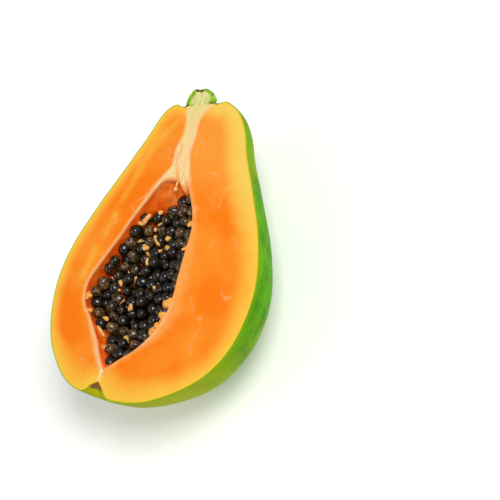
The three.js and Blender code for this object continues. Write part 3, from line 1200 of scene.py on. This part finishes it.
    def weigh(self, mesh: bpy.types.Mesh) -> None:
        """Measures each point from the rind, the cavity, the core and the lines in the cut.

        Args:
            mesh: The mesh, in mm.
        """
        points = self.points(mesh)
        flat, y = points[:, :2], points[:, 1]
        from_axis = points[:, 0] - FORM.axis_x(y)
        rind = distance_to_line(flat, self._outline(FORM.skin_point, self.outline_steps))
        rim = distance_to_line(flat, self._outline(FORM.cavity_point, self.rim_steps))
        # The stub grows from the seat, so no rind shows there.
        seat = (1.0 - soft(np.abs(from_axis), 6.4, 8.0)) * soft(y, 74, 76)
        numbers = {
            "rind_mm": rind,
            "rim_share": rim / self._band_width(from_axis, y),
            "lip_share": rim / self._lip_width(from_axis, y),
            "depth_mm": -points[:, 2],
            "at_seat": 3.0 * seat,
            "gold": self._gold(flat, rind),
            "neck": soft(y, 16, 62) * (0.4 + 0.6 * soft(from_axis, -3, 8)),
            "pale": soft(y, 4, 50) * soft(from_axis, 2, 12),
            "neck_end": soft(y, 25, 37),
            "ripe": self._ripe(points),
            "corky": self._corky(points),
        }
        for name, lines in (
            ("vessel_mm", self.vessels), ("strand_mm", self.strands), ("slit_mm", self.slits)
        ):
            near = [distance_to_line(flat, np.array(line)) for line in lines]
            numbers[name] = np.minimum.reduce(near)
        for name, values in numbers.items():
            self.carry(mesh, name, values)
        self._carry_core(mesh, flat)

    @staticmethod
    def _band_width(from_axis: np.ndarray, y: np.ndarray) -> np.ndarray:
        """Width of the pale band along the cavity: broad at the right, thin at the left.

        Args:
            from_axis: Distances from the fruit's axis, in mm.
            y: Places along the fruit, in mm.

        Returns:
            Widths, in mm.
        """
        right = 2.6 + 4.0 * soft(y, -46, -30) * (1.0 - soft(y, -4, 26))
        left = 1.4 + 1.4 * soft(-y, 30, 46)
        return left + (right - left) * soft(from_axis, -4, 4)

    @staticmethod
    def _lip_width(from_axis: np.ndarray, y: np.ndarray) -> np.ndarray:
        """Width of the palest line at the edge: broad at the low end and at the neck's left.

        Args:
            from_axis: Distances from the fruit's axis, in mm.
            y: Places along the fruit, in mm.

        Returns:
            Widths, in mm.
        """
        right = 0.9 + 2.0 * soft(y, -46, -34) * (1.0 - soft(y, -24, -10))
        left = 0.9 + 1.9 * soft(-y, 32, 44) + 1.8 * soft(y, 14, 38)
        return left + (right - left) * soft(from_axis, -4, 4)

    @staticmethod
    def _gold(flat: np.ndarray, rind: np.ndarray) -> np.ndarray:
        """How far the flesh has turned to the gold of the rind: broad at the right.

        Args:
            flat: Rows of x, y.
            rind: Distances from the rind, in mm.

        Returns:
            Shares from 0 to 1.
        """
        x, y = flat[:, 0], flat[:, 1]
        right = soft(x, -14, 34) * (1.0 - 0.35 * soft(-y, 14, 40))
        width = 7.0 + 8.5 * right + 4.5 * right * soft(y, 12, 46)
        width = np.maximum(width, 17.0 * soft(-y, 30, 62))
        width = np.maximum(width, 7.5 * soft(y, 40, 66))
        return np.clip(1.0 - rind / width, 0.0, 1.0)

    def _carry_core(self, mesh: bpy.types.Mesh, flat: np.ndarray) -> None:
        """Marks the fibrous core that narrows from the stem and parts round the cavity.

        Args:
            mesh: The mesh.
            flat: Rows of x, y.
        """
        x, y = flat[:, 0], flat[:, 1]
        heights, middles, widths = np.array(self.core).T
        across = (x - np.interp(y, heights, middles)) / np.interp(y, heights, widths)
        weight = (1.0 - soft(np.abs(across), 0.62, 1.2)) * soft(y, 36, 46)
        self.carry(mesh, "core", weight)
        self.carry(mesh, "fibre_across", across)
        self.carry(mesh, "fibre_along", y / self.fibre_length)
        self.carry(mesh, "near_stem", soft(y, 56, 78) * 0.7)

    @staticmethod
    def _from(points: np.ndarray, y: float) -> np.ndarray:
        """Distances of points from where the axis leaves the cut at y."""
        return np.linalg.norm(points - np.array([FORM.axis_x(y), y, 0.0]), axis=1)

    def _ripe(self, points: np.ndarray) -> np.ndarray:
        """Olive yellow in the blossom's hollow, and a little towards both ends.

        Args:
            points: Rows of x, y, z.

        Returns:
            Shares from 0 to 1.
        """
        y, depth = points[:, 1], -points[:, 2]
        ends = np.maximum(soft(-y, 14, 66) * 0.75, soft(y, 60, 84) * 0.35)
        scar = self._from(points, FORM.blossom_y)
        ends = np.maximum(ends, 0.95 * (1.0 - soft(scar, 7, 12)))
        return np.maximum(ends, 0.3 * (1.0 - soft(depth, 0, 4)))

    def _corky(self, points: np.ndarray) -> np.ndarray:
        """Brown where the blossom was, and in a thin ring round the stem.

        Args:
            points: Rows of x, y, z.

        Returns:
            Shares from 0 to 1.
        """
        scar = self._from(points, FORM.blossom_y)
        seat = self._from(points, FORM.seat_y)
        ring = (1.0 - soft(seat, 8.2, 10.4)) * soft(seat, 6.0, 7.6)
        return np.maximum(1.0 - soft(scar, 2.8, 6.0), ring)


@dataclass
class Seed:
    """One seed of the heap's top layer, in the plane of the cut."""

    x: float
    y: float
    lift: float
    size: float
    turn: tuple[float, float]


class Draws:
    """Repeatable draws from 0 to 1, the same as in the solid model."""

    factor = 1664525
    step = 1013904223
    size = 2**32

    def __init__(self, start: int) -> None:
        """Starts the row of draws."""
        self.state = start

    def next(self) -> float:
        """The next draw."""
        self.state = (self.state * self.factor + self.step) % self.size
        return self.state / self.size

    def between(self, low: float, high: float) -> float:
        """The next draw, from low to high."""
        return low + (high - low) * self.next()


@dataclass(frozen=True)
class HeapForm:
    """Where the seeds lie, by the same rule as in the solid model."""

    length: float = 6.4
    thickness: float = 5.7
    pitch: float = 6.1
    size_spread: float = 0.14
    jitter: float = 3.0
    lift: float = 1.8
    first_draw: int = 20417
    at_wall: float = 4.6
    sag: float = 8.0
    hollow_across: float = 0.25
    full_half_width: float = 24.0
    end_y: float = 28.5
    end_slant: float = 11.0
    end_drop: float = 1.3
    columns: int = 7
    passes: int = 24

    def past_end(self, x: float, y: float) -> float:
        """How far a place lies past the last seeds, towards the stem."""
        return y - (self.end_y + self.end_slant * FORM.across_cavity(x, y))

    def height(self, x: float, y: float) -> float:
        """Finds how high the top seeds' centres lie.

        Args:
            x: X of the place, in mm.
            y: Y of the place, in mm.

        Returns:
            The height from the cut, in mm.
        """
        from_hollow = FORM.across_cavity(x, y) - self.hollow_across
        reach = 1 + self.hollow_across if from_hollow < 0 else 1 - self.hollow_across
        to_wall = from_hollow / reach
        half_width = FORM.cavity_radius(FORM.along_cavity(y), math.pi)
        sag = self.sag * min(half_width / self.full_half_width, 1.0)
        drop = self.end_drop * max(self.past_end(x, y), 0.0)
        return -(self.at_wall + sag * max(1 - to_wall * to_wall, 0.0) + drop)

    def seeds(self) -> list[Seed]:
        """Draws a jittered grid of seeds and lets them settle beside each other.

        Returns:
            The seeds of the top layer.
        """
        draw = Draws(self.first_draw)
        seeds = []
        step = self.pitch * math.sqrt(0.75)
        first = FORM.cavity_right.stations[0][1] + self.thickness
        row = 0
        while first + row * step < self.end_y + self.end_slant:
            for column in range(-self.columns, self.columns + 1):
                y = first + row * step + (draw.next() - 0.5) * self.jitter
                shift = (column + (row % 2) / 2) * self.pitch
                x = FORM.axis_x(y) + shift + (draw.next() - 0.5) * self.jitter
                lift = (draw.next() - 0.5) * self.lift
                size = 1 + (draw.next() - 0.5) * self.size_spread
                turn = (draw.next() * math.pi, (draw.next() - 0.5) * math.pi)
                if abs(FORM.across_cavity(x, y)) < 1 and self.past_end(x, y) < 0:
                    seeds.append(Seed(x, y, lift, size, turn))
            row += 1
        for _ in range(self.passes):
            self._push_apart(seeds)
            for seed in seeds:
                self._keep_off_wall(seed)
        return seeds

    def _push_apart(self, seeds: list[Seed]) -> None:
        """Moves each two seeds that overlap until they only touch.

        Args:
            seeds: The seeds, which are moved.
        """
        for i, a in enumerate(seeds):
            for b in seeds[i + 1 :]:
                wanted = (a.size + b.size) / 2 * self.thickness
                x, y = b.x - a.x, b.y - a.y
                distance = math.sqrt(x * x + y * y)
                if distance >= wanted or distance == 0:
                    continue
                share = 0.5 * (wanted - distance) / distance
                a.x -= x * share
                a.y -= y * share
                b.x += x * share
                b.y += y * share

    def _keep_off_wall(self, seed: Seed) -> None:
        """Keeps a seed's centre off the wall by its own radius.

        Args:
            seed: The seed, which is moved.
        """
        room = seed.size * self.thickness / 2
        along = FORM.along_cavity(seed.y)
        right = FORM.cavity_radius(along, 0.0) - room
        left = FORM.cavity_radius(along, math.pi) - room
        distance = seed.x - FORM.axis_x(seed.y)
        seed.x = FORM.axis_x(seed.y) + max(-left, min(right, distance))


HEAP = HeapForm()


@dataclass(frozen=True)
class Wrinkles:
    """Wrinkles of a small body: their height and the distance between them, in mm."""

    height: float
    pitch: float


@dataclass
class Pod(Piece):
    """A piece made of many small rounded bodies."""

    wrinkles: Wrinkles = Wrinkles(0.3, 1.3)

    def grain(self, centre: Vector, half_sizes: tuple[float, float, float], turn: Euler,
              fineness: int = 3, wrinkles: Wrinkles | None = None) -> list[bmesh.types.BMVert]:
        """Adds one rounded, slightly wrinkled body.

        Args:
            centre: Its middle, in mm.
            half_sizes: Half its length, width and thickness, in mm.
            turn: Its turn.
            fineness: Subdivisions of the ball it starts from.
            wrinkles: Its wrinkles, where they aren't the piece's own.

        Returns:
            The new vertices.
        """
        wrinkles = wrinkles or self.wrinkles
        matrix = Matrix.LocRotScale(centre, turn, Vector(half_sizes))
        made = bmesh.ops.create_icosphere(
            self.work, subdivisions=fineness, radius=1.0, matrix=matrix
        )
        for vert in made["verts"]:
            outward = (vert.co - centre).normalized()
            ridge = 1.0 - 2.0 * abs(lump(vert.co, wrinkles.pitch, centre.x))
            vert.co += outward * wrinkles.height * (ridge - 0.5)
        return made["verts"]


@dataclass
class Seeds(Pod):
    """The heap of seeds: the top layer, and the seeds that show in its gaps."""

    name: str = "papaya_seeds"
    slot: str = "seeds"
    replaced: tuple[str, ...] = ("seeds",)
    finishes: tuple[Finish, ...] = (SeedFinish(),)
    wrinkles: Wrinkles = Wrinkles(0.24, 1.7)
    first_draw: int = 771
    smallest: float = 0.98
    largest: float = 1.16
    flattest: float = 0.86
    stray: float = 0.7
    # The lower seeds: how far they lie under the top ones, beside them, and off the wall.
    under_step: float = 3.4
    under_shift: tuple[float, float] = (0.5, 0.3)
    under_stray: float = 0.8
    under_reach: float = 0.82

    def build(self) -> None:
        """Places every seed."""
        self.tint_and_depth_shade = self.work.verts.layers.float.new("tint_and_depth_shade")
        draw = Draws(self.first_draw)
        top = HEAP.seeds()
        for seed in top:
            self._seed(seed, HEAP.height(seed.x, seed.y) + seed.lift, 3, draw)
        # The seeds below them show in their gaps.
        for seed in top:
            x, y = (
                place + share * HEAP.pitch + draw.between(-self.under_stray, self.under_stray)
                for place, share in zip((seed.x, seed.y), self.under_shift)
            )
            if abs(FORM.across_cavity(x, y)) > self.under_reach or HEAP.past_end(x, y) > -1:
                continue
            under = Seed(x, y, 0.0, seed.size, (seed.turn[1], seed.turn[0]))
            self._seed(under, HEAP.height(x, y) - self.under_step, 2, draw)
        self.shade_smooth()

    def _seed(self, seed: Seed, height: float, fineness: int, draw: Draws) -> None:
        """Adds one seed and notes how brown it is, with painted shade making the deep ones darker.

        Args:
            seed: Its place, size and turn.
            height: Height of its middle from the cut, in mm.
            fineness: Subdivisions of the ball it starts from.
            draw: The row of draws.
        """
        size = seed.size * draw.between(self.smallest, self.largest)
        long, thick = HEAP.length / 2 * size, HEAP.thickness / 2 * size
        turn = Euler((seed.turn[1] * 0.5, seed.turn[1], seed.turn[0]))
        centre = Vector((seed.x, seed.y, height))
        centre += Vector([draw.between(-self.stray, self.stray) for _ in range(3)])
        half_sizes = (long, thick, thick * draw.between(self.flattest, 1.0))
        verts = self.grain(centre, half_sizes, turn, fineness)
        # Painted shade: the deep ones in the hollow are drawn darker, towards black.
        brown = draw.next() * (1.0 - 0.9 * smooth(-height, 7.0, 11.5))
        for vert in verts:
            vert[self.tint_and_depth_shade] = brown


@dataclass
class PulpBed(Piece):
    """The uneven tissue under the seeds, which also carries the painted shade of the deep gaps."""

    name: str = "pulp_bed"
    slot: str = "flesh"
    finishes: tuple[Finish, ...] = (PulpFinish(),)
    steps: tuple[int, int] = (70, 130)
    depth: float = 5.4
    rim_cover: float = 3.0
    # How far it lies behind the cavity's wall, as a share of the depth and in mm.
    wall_share: float = 1.1
    behind_wall: float = 0.6
    swells: Swells = ((0.9, 5, 2), (0.3, 2, 6))

    def build(self) -> None:
        """Drapes a grid under the seeds."""
        across_steps, along_steps = self.steps
        bmesh.ops.create_grid(
            self.work, x_segments=across_steps, y_segments=along_steps, size=1.0
        )
        for vert in self.work.verts:
            along = 0.5 + 0.5 * vert.co.y
            across = vert.co.x
            _, y = FORM.cavity_right.at(along)
            x = FORM.axis_x(y) + across * FORM.cavity_radius(along, side_of(across))
            point = Vector((x, y, HEAP.height(x, y) - self.depth))
            point.z += swell(point, self.swells)
            # Past the heap it stays just behind the cavity's wall.
            arch = math.sqrt(max(1.0 - across**2, 0.0))
            deepest = FORM.cavity_radius(along, math.pi / 2)
            wall = self.wall_share * deepest * arch + self.behind_wall
            point.z = min(max(point.z, -wall), -self.rim_cover)
            vert.co = point
        bmesh.ops.recalc_face_normals(self.work, faces=self.work.faces[:])
        self.shade_smooth()

    def weigh(self, mesh: bpy.types.Mesh) -> None:
        """Marks the tissue near the left wall, which the seeds leave partly bare.

        Args:
            mesh: The mesh, in mm.
        """
        points = self.points(mesh)
        across = np.array([FORM.across_cavity(x, y) for x, y, _ in points])
        near = np.maximum(soft(-across, -0.1, 0.7), soft(across, 0.82, 0.98))
        self.carry(mesh, "near_wall", np.maximum(near, soft(points[:, 1], 20, 30)))


@dataclass
class PlacentaLumps(Pod):
    """Orange lumps of placenta along the cavity's rim."""

    name: str = "placenta_lumps"
    slot: str = "flesh"
    finishes: tuple[Finish, ...] = (
        TissueFinish("placenta tissue", "#feb850", "#fb9a34", 2.6),
    )
    wrinkles: Wrinkles = Wrinkles(0.12, 2.2)
    first_draw: int = 90
    knobs: int = 4
    # How far a knob strays from its lump's middle, as a share of the lump's size.
    stray: float = 0.34
    # How far the row of lumps leans and each knob tips, in radians.
    lean: float = 0.5
    tip: float = 0.6
    rise: float = 0.6
    # Y, side, length, thickness and how far under the cut, in mm.
    lumps: tuple[tuple[float, ...], ...] = (
        (-18.5, 0.0, 5.6, 4.4, 2.6), (-25.0, 0.0, 4.6, 3.8, 2.6), (-32.0, 0.0, 5.4, 3.8, 2.6),
        (21.5, 0.0, 4.2, 2.8, 2.6), (9.0, 0.0, 3.0, 2.0, 2.4), (-28.5, 0.0, 3.2, 2.6, 3.0),
        (-24.0, math.pi, 3.4, 2.6, 2.8), (-31.0, math.pi, 3.6, 2.6, 2.6),
    )

    def build(self) -> None:
        """Places a cluster of rounded knobs for each lump."""
        draw = Draws(self.first_draw)
        lean = Matrix.Rotation(self.lean, 3, "Z")
        for y, side, length, thickness, depth in self.lumps:
            reach = FORM.cavity_radius(FORM.along_cavity(y), side) - thickness * 0.4
            x = FORM.axis_x(y) + math.cos(side) * reach
            for _ in range(self.knobs):
                off = Vector((
                    draw.between(-self.stray, self.stray) * length,
                    draw.between(-self.stray, self.stray) * thickness,
                    draw.between(-0.3, 0.15) * thickness,
                ))
                half = [thickness * draw.between(0.34, 0.5) for _ in range(3)]
                tips = [draw.between(-self.tip, self.tip) for _ in range(2)]
                turn = Euler((*tips, draw.between(0, 3)))
                centre = Vector((x, y, self.rise - depth)) + lean @ off
                self.grain(centre, (half[0] * 1.3, half[1], half[2]), turn)
        self.shade_smooth()


@dataclass
class NeckTissue(Piece):
    """Pale tissue of the core, hanging as one curtain over the neck end of the cavity."""

    name: str = "core_tissue"
    slot: str = "flesh"
    finishes: tuple[Finish, ...] = (CoreTissueFinish(),)
    steps: int = 60
    top_y: float = 47.2
    # How far the curtain hangs down the fruit, in mm, from the left wall (-1) to the right (1).
    hang: tuple[tuple[float, float], ...] = (
        (-1.0, 12.0), (-0.75, 7.5), (-0.4, 6.4), (0.0, 6.2), (0.3, 7.0), (0.55, 10.0),
        (0.7, 11.2), (0.82, 9.0), (1.0, 7.5),
    )
    # The share of its length after which it turns down, how far, in mm, and at what slant.
    turn_at: float = 0.66
    drop: float = 6.0
    slant: float = 0.25
    # How far its sides run in under the cavity's rounded rim, in mm.
    under_rim: float = 0.9
    # How far it lies under the cut at its top, and how much lower at its turn and its middle.
    top_depth: float = 0.1
    turn_depth: float = 0.3
    hollow: float = 2.0
    swells: Swells = ((0.2, 2.6, 3),)

    def build(self) -> None:
        """Drapes a grid from the point of the cavity to the curtain's lower edge."""
        self.lower = self.work.verts.layers.float.new("lower")
        bmesh.ops.create_grid(self.work, x_segments=self.steps, y_segments=self.steps, size=1.0)
        places, lengths = zip(*self.hang)
        for vert in self.work.verts:
            across, down = vert.co.x, 0.5 - 0.5 * vert.co.y
            over = max(down - self.turn_at, 0.0) / (1.0 - self.turn_at)
            out = min(down / self.turn_at, 1.0) + self.slant * over
            y = self.top_y - out * float(np.interp(across, places, lengths))
            reach = FORM.cavity_radius(FORM.along_cavity(y), side_of(across))
            point = Vector((FORM.axis_x(y) + across * (reach + self.under_rim), y, 0.0))
            hollow = self.hollow * out**2 * (1.0 - across**2)
            depth = self.top_depth + self.turn_depth * out + hollow + self.drop * over
            point.z = -depth
            point.z += swell(point, self.swells) * (1.0 - across**2)
            vert.co = point
            vert[self.lower] = smooth(out, 0.45, 1.0) * 0.6 + 0.4 * over
        bmesh.ops.recalc_face_normals(self.work, faces=self.work.faces[:])
        self.shade_smooth()


@dataclass
class SeedStalks(Pod):
    """Cream stalks and small unfilled seeds that show between the dark ones."""

    name: str = "seed_stalks"
    slot: str = "flesh"
    finishes: tuple[Finish, ...] = (TissueFinish("seed stalk tissue", "#f4ca7c", "#ee9c42"),)
    wrinkles: Wrinkles = Wrinkles(0.3, 1.3)
    first_draw: int = 4242
    count: int = 36
    pale_seeds: float = 0.2
    # Strands at the neck end: middle, half sizes and turn, in mm and radians. One seed that
    # never filled hangs there by its stalk.
    strands: tuple[tuple[tuple[float, ...], tuple[float, ...], float], ...] = (
        ((-4.0, 36.9, -2.6), (1.15, 1.25, 1.0), 0.0),
        ((-4.3, 39.2, -2.6), (0.55, 2.2, 0.5), 0.1),
    )
    strand_wrinkles: Wrinkles = Wrinkles(0.12, 1.4)
    # Larger scraps of tissue on the heap: X, Y, half length, half width and turn.
    scraps: tuple[tuple[float, ...], ...] = (
        (-16.4, 19.4, 3.8, 1.5, 1.15), (-11.5, 24.0, 2.6, 1.3, 0.8), (-8.4, 11.2, 3.4, 1.3, -0.75),
        (-13.6, 6.4, 2.7, 1.6, 0.1), (-20.8, -16.7, 2.1, 1.1, -0.35), (-18.2, -22.4, 3.0, 1.5, 0.5),
        (-20.6, -33.0, 2.6, 1.4, 0.2),
    )
    scrap_lift: float = 1.5
    scrap_flatness: float = 0.8
    scrap_wrinkles: Wrinkles = Wrinkles(0.45, 2.0)

    def build(self) -> None:
        """Strews stalks and pale seeds through the heap, then adds the strands and scraps."""
        draw = Draws(self.first_draw)
        for _ in range(self.count):
            self._stalk(draw)
        for middle, half, lean in self.strands:
            self.grain(Vector(middle), half, Euler((0, 0, lean)), 3, self.strand_wrinkles)
        for x, y, half_length, half_width, lean in self.scraps:
            middle = Vector((x, y, HEAP.height(x, y) + self.scrap_lift))
            half = (half_length, half_width, self.scrap_flatness * half_width)
            self.grain(middle, half, Euler((0, 0, lean)), 4, self.scrap_wrinkles)
        self.shade_smooth()

    def _stalk(self, draw: Draws) -> None:
        """Adds one stalk or pale seed in the left part of the heap, if it falls on the heap.

        Args:
            draw: The row of draws.
        """
        y = draw.between(-48, 26)
        across = draw.between(-0.92, 0.3)
        reach = FORM.cavity_radius(FORM.along_cavity(y), side_of(across))
        x = FORM.axis_x(y) + across * reach
        if HEAP.past_end(x, y) > 0:
            return
        height = HEAP.height(x, y) - draw.between(-1.4, 1.6)
        if draw.next() < self.pale_seeds:
            long = draw.between(1.5, 2.1)
            thin = long * 0.75
        else:
            long, thin = draw.between(1.8, 3.8), draw.between(0.8, 1.5)
        turn = Euler((0, draw.between(-0.5, 0.5), draw.between(0, math.pi)))
        self.grain(Vector((x, y, height)), (long, thin, thin), turn)


@dataclass
class StemStub(Piece):
    """The cut stub of the stem, halved by the same cut."""

    name: str = "stem_stub_cut"
    slot: str = "stem"
    replaced: tuple[str, ...] = ("stem_stub",)
    finishes: tuple[Finish, ...] = (StemFinish(),)
    around_steps: int = 96
    length_steps: int = 60
    lean_deg: float = 13.5
    # How far its foot stands left of the fruit's axis, in mm.
    foot_left: float = 0.8
    # It is sunk into its seat, with its cut a hair under the flesh's so that they don't share one.
    sunk: float = 0.45
    lower_by: float = -0.04
    profile: Profile = Profile(
        ((0, 0), (7.6, 0), (7.9, 1.2), (7.9, 2.8), (7.6, 4.3), (6.9, 5.8), (5.9, 7.1),
         (4.7, 8.1), (3.3, 8.7), (1.8, 9.0), (0, 9.1))
    )
    lobes: float = 0.05
    knobs: Swells = ((0.8, 2.4, 4), (0.8, 5.0, 11))
    # The cut's rings close on this point, left of the axis and above the seat, in mm.
    heart: tuple[float, float] = (0.9, 3.6)
    rings: tuple[float, ...] = (0.1, 0.2, 0.3, 0.45, 0.7, 1.0)

    def build(self) -> None:
        """Turns a ball into a knobbly stub and cuts it in half."""
        bm = self.work
        bmesh.ops.create_uvsphere(
            bm, u_segments=self.around_steps, v_segments=self.length_steps, radius=1.0
        )
        self.inner = bm.verts.layers.float.new("inner")
        self.dried = bm.verts.layers.float.new("dried")
        foot_x = FORM.axis_x(FORM.seat_y) - self.foot_left
        stand = Matrix.Translation((foot_x, FORM.seat_y - self.sunk, 0))
        stand = stand @ Matrix.Rotation(math.radians(self.lean_deg), 4, "Z")
        for vert in bm.verts:
            self._shape(vert)
            vert.co = stand @ vert.co
        self.halve(self.lower_by, (0, 0, 1), 1e-4)
        # A cut leaves its new points in no set order, and a merge keeps the first of two.
        order = sorted(bm.verts, key=lambda vert: tuple(round(c, 4) for c in vert.co))
        bm.verts.sort(key={vert: rank for rank, vert in enumerate(order)}.get)
        bmesh.ops.remove_doubles(bm, verts=bm.verts[:], dist=WELD)
        self._close_cut()
        # The flat cut keeps a crisp edge.
        for face in bm.faces:
            face.smooth = abs(face.normal.z) < 0.99

    def _shape(self, vert: bmesh.types.BMVert) -> None:
        """Moves a point of the ball to the stub and notes what tissue it is.

        Args:
            vert: The point.
        """
        x, y, z = vert.co
        along = 1.0 - math.acos(min(max(z, -1.0), 1.0)) / math.pi
        radius, height = self.profile.at(along)
        angle = math.atan2(y, x)
        radius *= 1 + self.lobes * math.sin(3 * angle + 1) * math.cos(2 * angle)
        point = Vector((radius * math.cos(angle), height, radius * math.sin(angle)))
        rough = swell(point, self.knobs)
        point += point.normalized() * rough * smooth(height, 0.5, 4.0)
        # It dried at its tip and round its foot, and its foot shows fresh tissue inside.
        foot = smooth(radius, 6.6, 7.6) * (1.0 - smooth(height, 0.5, 1.7))
        vert[self.dried] = max(0.8 * smooth(height, 7.2, 9.0), foot)
        vert[self.inner] = 1.0 - smooth(radius, 3.6, 6.4) if height < 0.6 else 0.0
        vert.co = point

    def _close_cut(self) -> None:
        """Closes the stub's cut with rings of inner tissue."""
        bm = self.work
        rim = bm.verts.layers.float_vector.new("rim")
        edge = [e for e in bm.edges if e.is_boundary]
        for vert in {v for e in edge for v in e.verts}:
            vert[rim] = vert.co
        left, above = self.heart
        middle = Vector((FORM.axis_x(FORM.seat_y) - left, FORM.seat_y + above, self.lower_by))
        for share in self.rings:
            grown = bmesh.ops.extrude_edge_only(bm, edges=edge)["geom"]
            for vert in (g for g in grown if isinstance(g, bmesh.types.BMVert)):
                vert.co = Vector(vert[rim]).lerp(middle, share)
                vert[self.inner] = max(vert[self.inner], smooth(share, 0.12, 0.5))
                vert[self.dried] *= 1.0 - 0.6 * share
            edge = [g for g in grown if isinstance(g, bmesh.types.BMEdge) and g.is_boundary]
        self.close_seams(SAME)


@dataclass(frozen=True)
class TableFinish(Finish):
    """White laminate with a little light of its own, as from a table that is lit from below."""

    white: str = "#fdfdfc"
    shade: str = "#fafaf8"
    cloud: float = 60.0
    glow: float = 0.16

    def make(self) -> bpy.types.Material:
        """Builds the material.

        Returns:
            The material.
        """
        n = Nodes("white table top")
        clouds = n.add(Kind.NOISE, n.place, per_metre(self.cloud), 2)
        return n.finish(
            Base_Color=n.add(Kind.BLEND, clouds, self.shade, self.white),
            Roughness=0.6,
            Emission_Color="#ffffff",
            Emission_Strength=self.glow,
        )


@dataclass(frozen=True)
class Studio:
    """The white table top and the even light from all sides."""

    table_size: float = 6.0
    # The top lies a hair under the fruit, in m, so that they don't share a face.
    table_top: float = -0.0002
    sky_strength: float = 0.36

    def make(self) -> None:
        """Adds the table top and the sky."""
        bpy.ops.mesh.primitive_plane_add(size=self.table_size, location=(0, 0, self.table_top))
        floor = bpy.context.object
        floor.name = "floor"
        floor.data.materials.append(TableFinish().make())
        world = bpy.data.worlds.new("white studio")
        world.use_nodes = True
        background = world.node_tree.nodes["Background"]
        background.inputs["Color"].default_value = srgb("#ffffff")
        background.inputs["Strength"].default_value = self.sky_strength
        bpy.context.scene.world = world


@dataclass(frozen=True)
class SoftLight:
    """A square soft light that shines on the fruit."""

    name: str
    towards: tuple[float, float, float]
    distance: float
    size: float
    watts: float

    def make(self) -> None:
        """Places the light."""
        lamp = bpy.data.lights.new(self.name, "AREA")
        lamp.shape = "SQUARE"
        lamp.size = self.size
        lamp.energy = self.watts
        placed = bpy.data.objects.new(self.name, lamp)
        way = Vector(self.towards).normalized()
        placed.location = Vector((0, 0, FACE_HEIGHT * MM)) + way * self.distance
        placed.rotation_euler = way.to_track_quat("Z", "Y").to_euler()
        bpy.context.scene.collection.objects.link(placed)


KEY_LIGHT = SoftLight("key light", (0.46, 0.16, 0.87), distance=1.1, size=0.45, watts=8.4)
FILL_LIGHT = SoftLight("fill light", (-0.6, -0.5, 0.62), distance=1.3, size=0.8, watts=3.0)


@dataclass(frozen=True)
class Viewpoint:
    """The photograph's camera: where it stands, what its axis meets, and its roll."""

    location: tuple[float, float, float] = (0.50337, -0.14932, 0.78335)
    target: tuple[float, float, float] = (0.0449, 0.0053, 0.0534)
    roll_deg: float = -55.53
    lens_mm: float = 135.0
    sensor_mm: float = 36.0
    nearest: float = 0.01

    def make(self) -> None:
        """Adds the camera and makes it the scene's."""
        data = bpy.data.cameras.new("camera")
        data.lens = self.lens_mm
        data.sensor_width = self.sensor_mm
        data.clip_start = self.nearest
        camera = bpy.data.objects.new("camera", data)
        back = Vector(self.location) - Vector(self.target)
        look = back.to_track_quat("Z", "Y").to_matrix().to_4x4()
        roll = Matrix.Rotation(math.radians(self.roll_deg), 4, "Z")
        camera.matrix_world = Matrix.Translation(self.location) @ look @ roll
        bpy.context.scene.collection.objects.link(camera)
        bpy.context.scene.camera = camera


def main() -> None:
    """Builds the fruit, the table, the lights and the camera."""
    logging.basicConfig(level=logging.INFO, format="%(name)s: %(message)s")
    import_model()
    pieces = (PapayaHalf, Seeds, PulpBed, PlacentaLumps, NeckTissue, SeedStalks, StemStub)
    for kind in pieces:
        kind().make()
    for part_of_set in (Studio(), KEY_LIGHT, FILL_LIGHT, Viewpoint()):
        part_of_set.make()
    bpy.context.scene.view_settings.view_transform = "Standard"


if __name__ == "__main__":
    main()
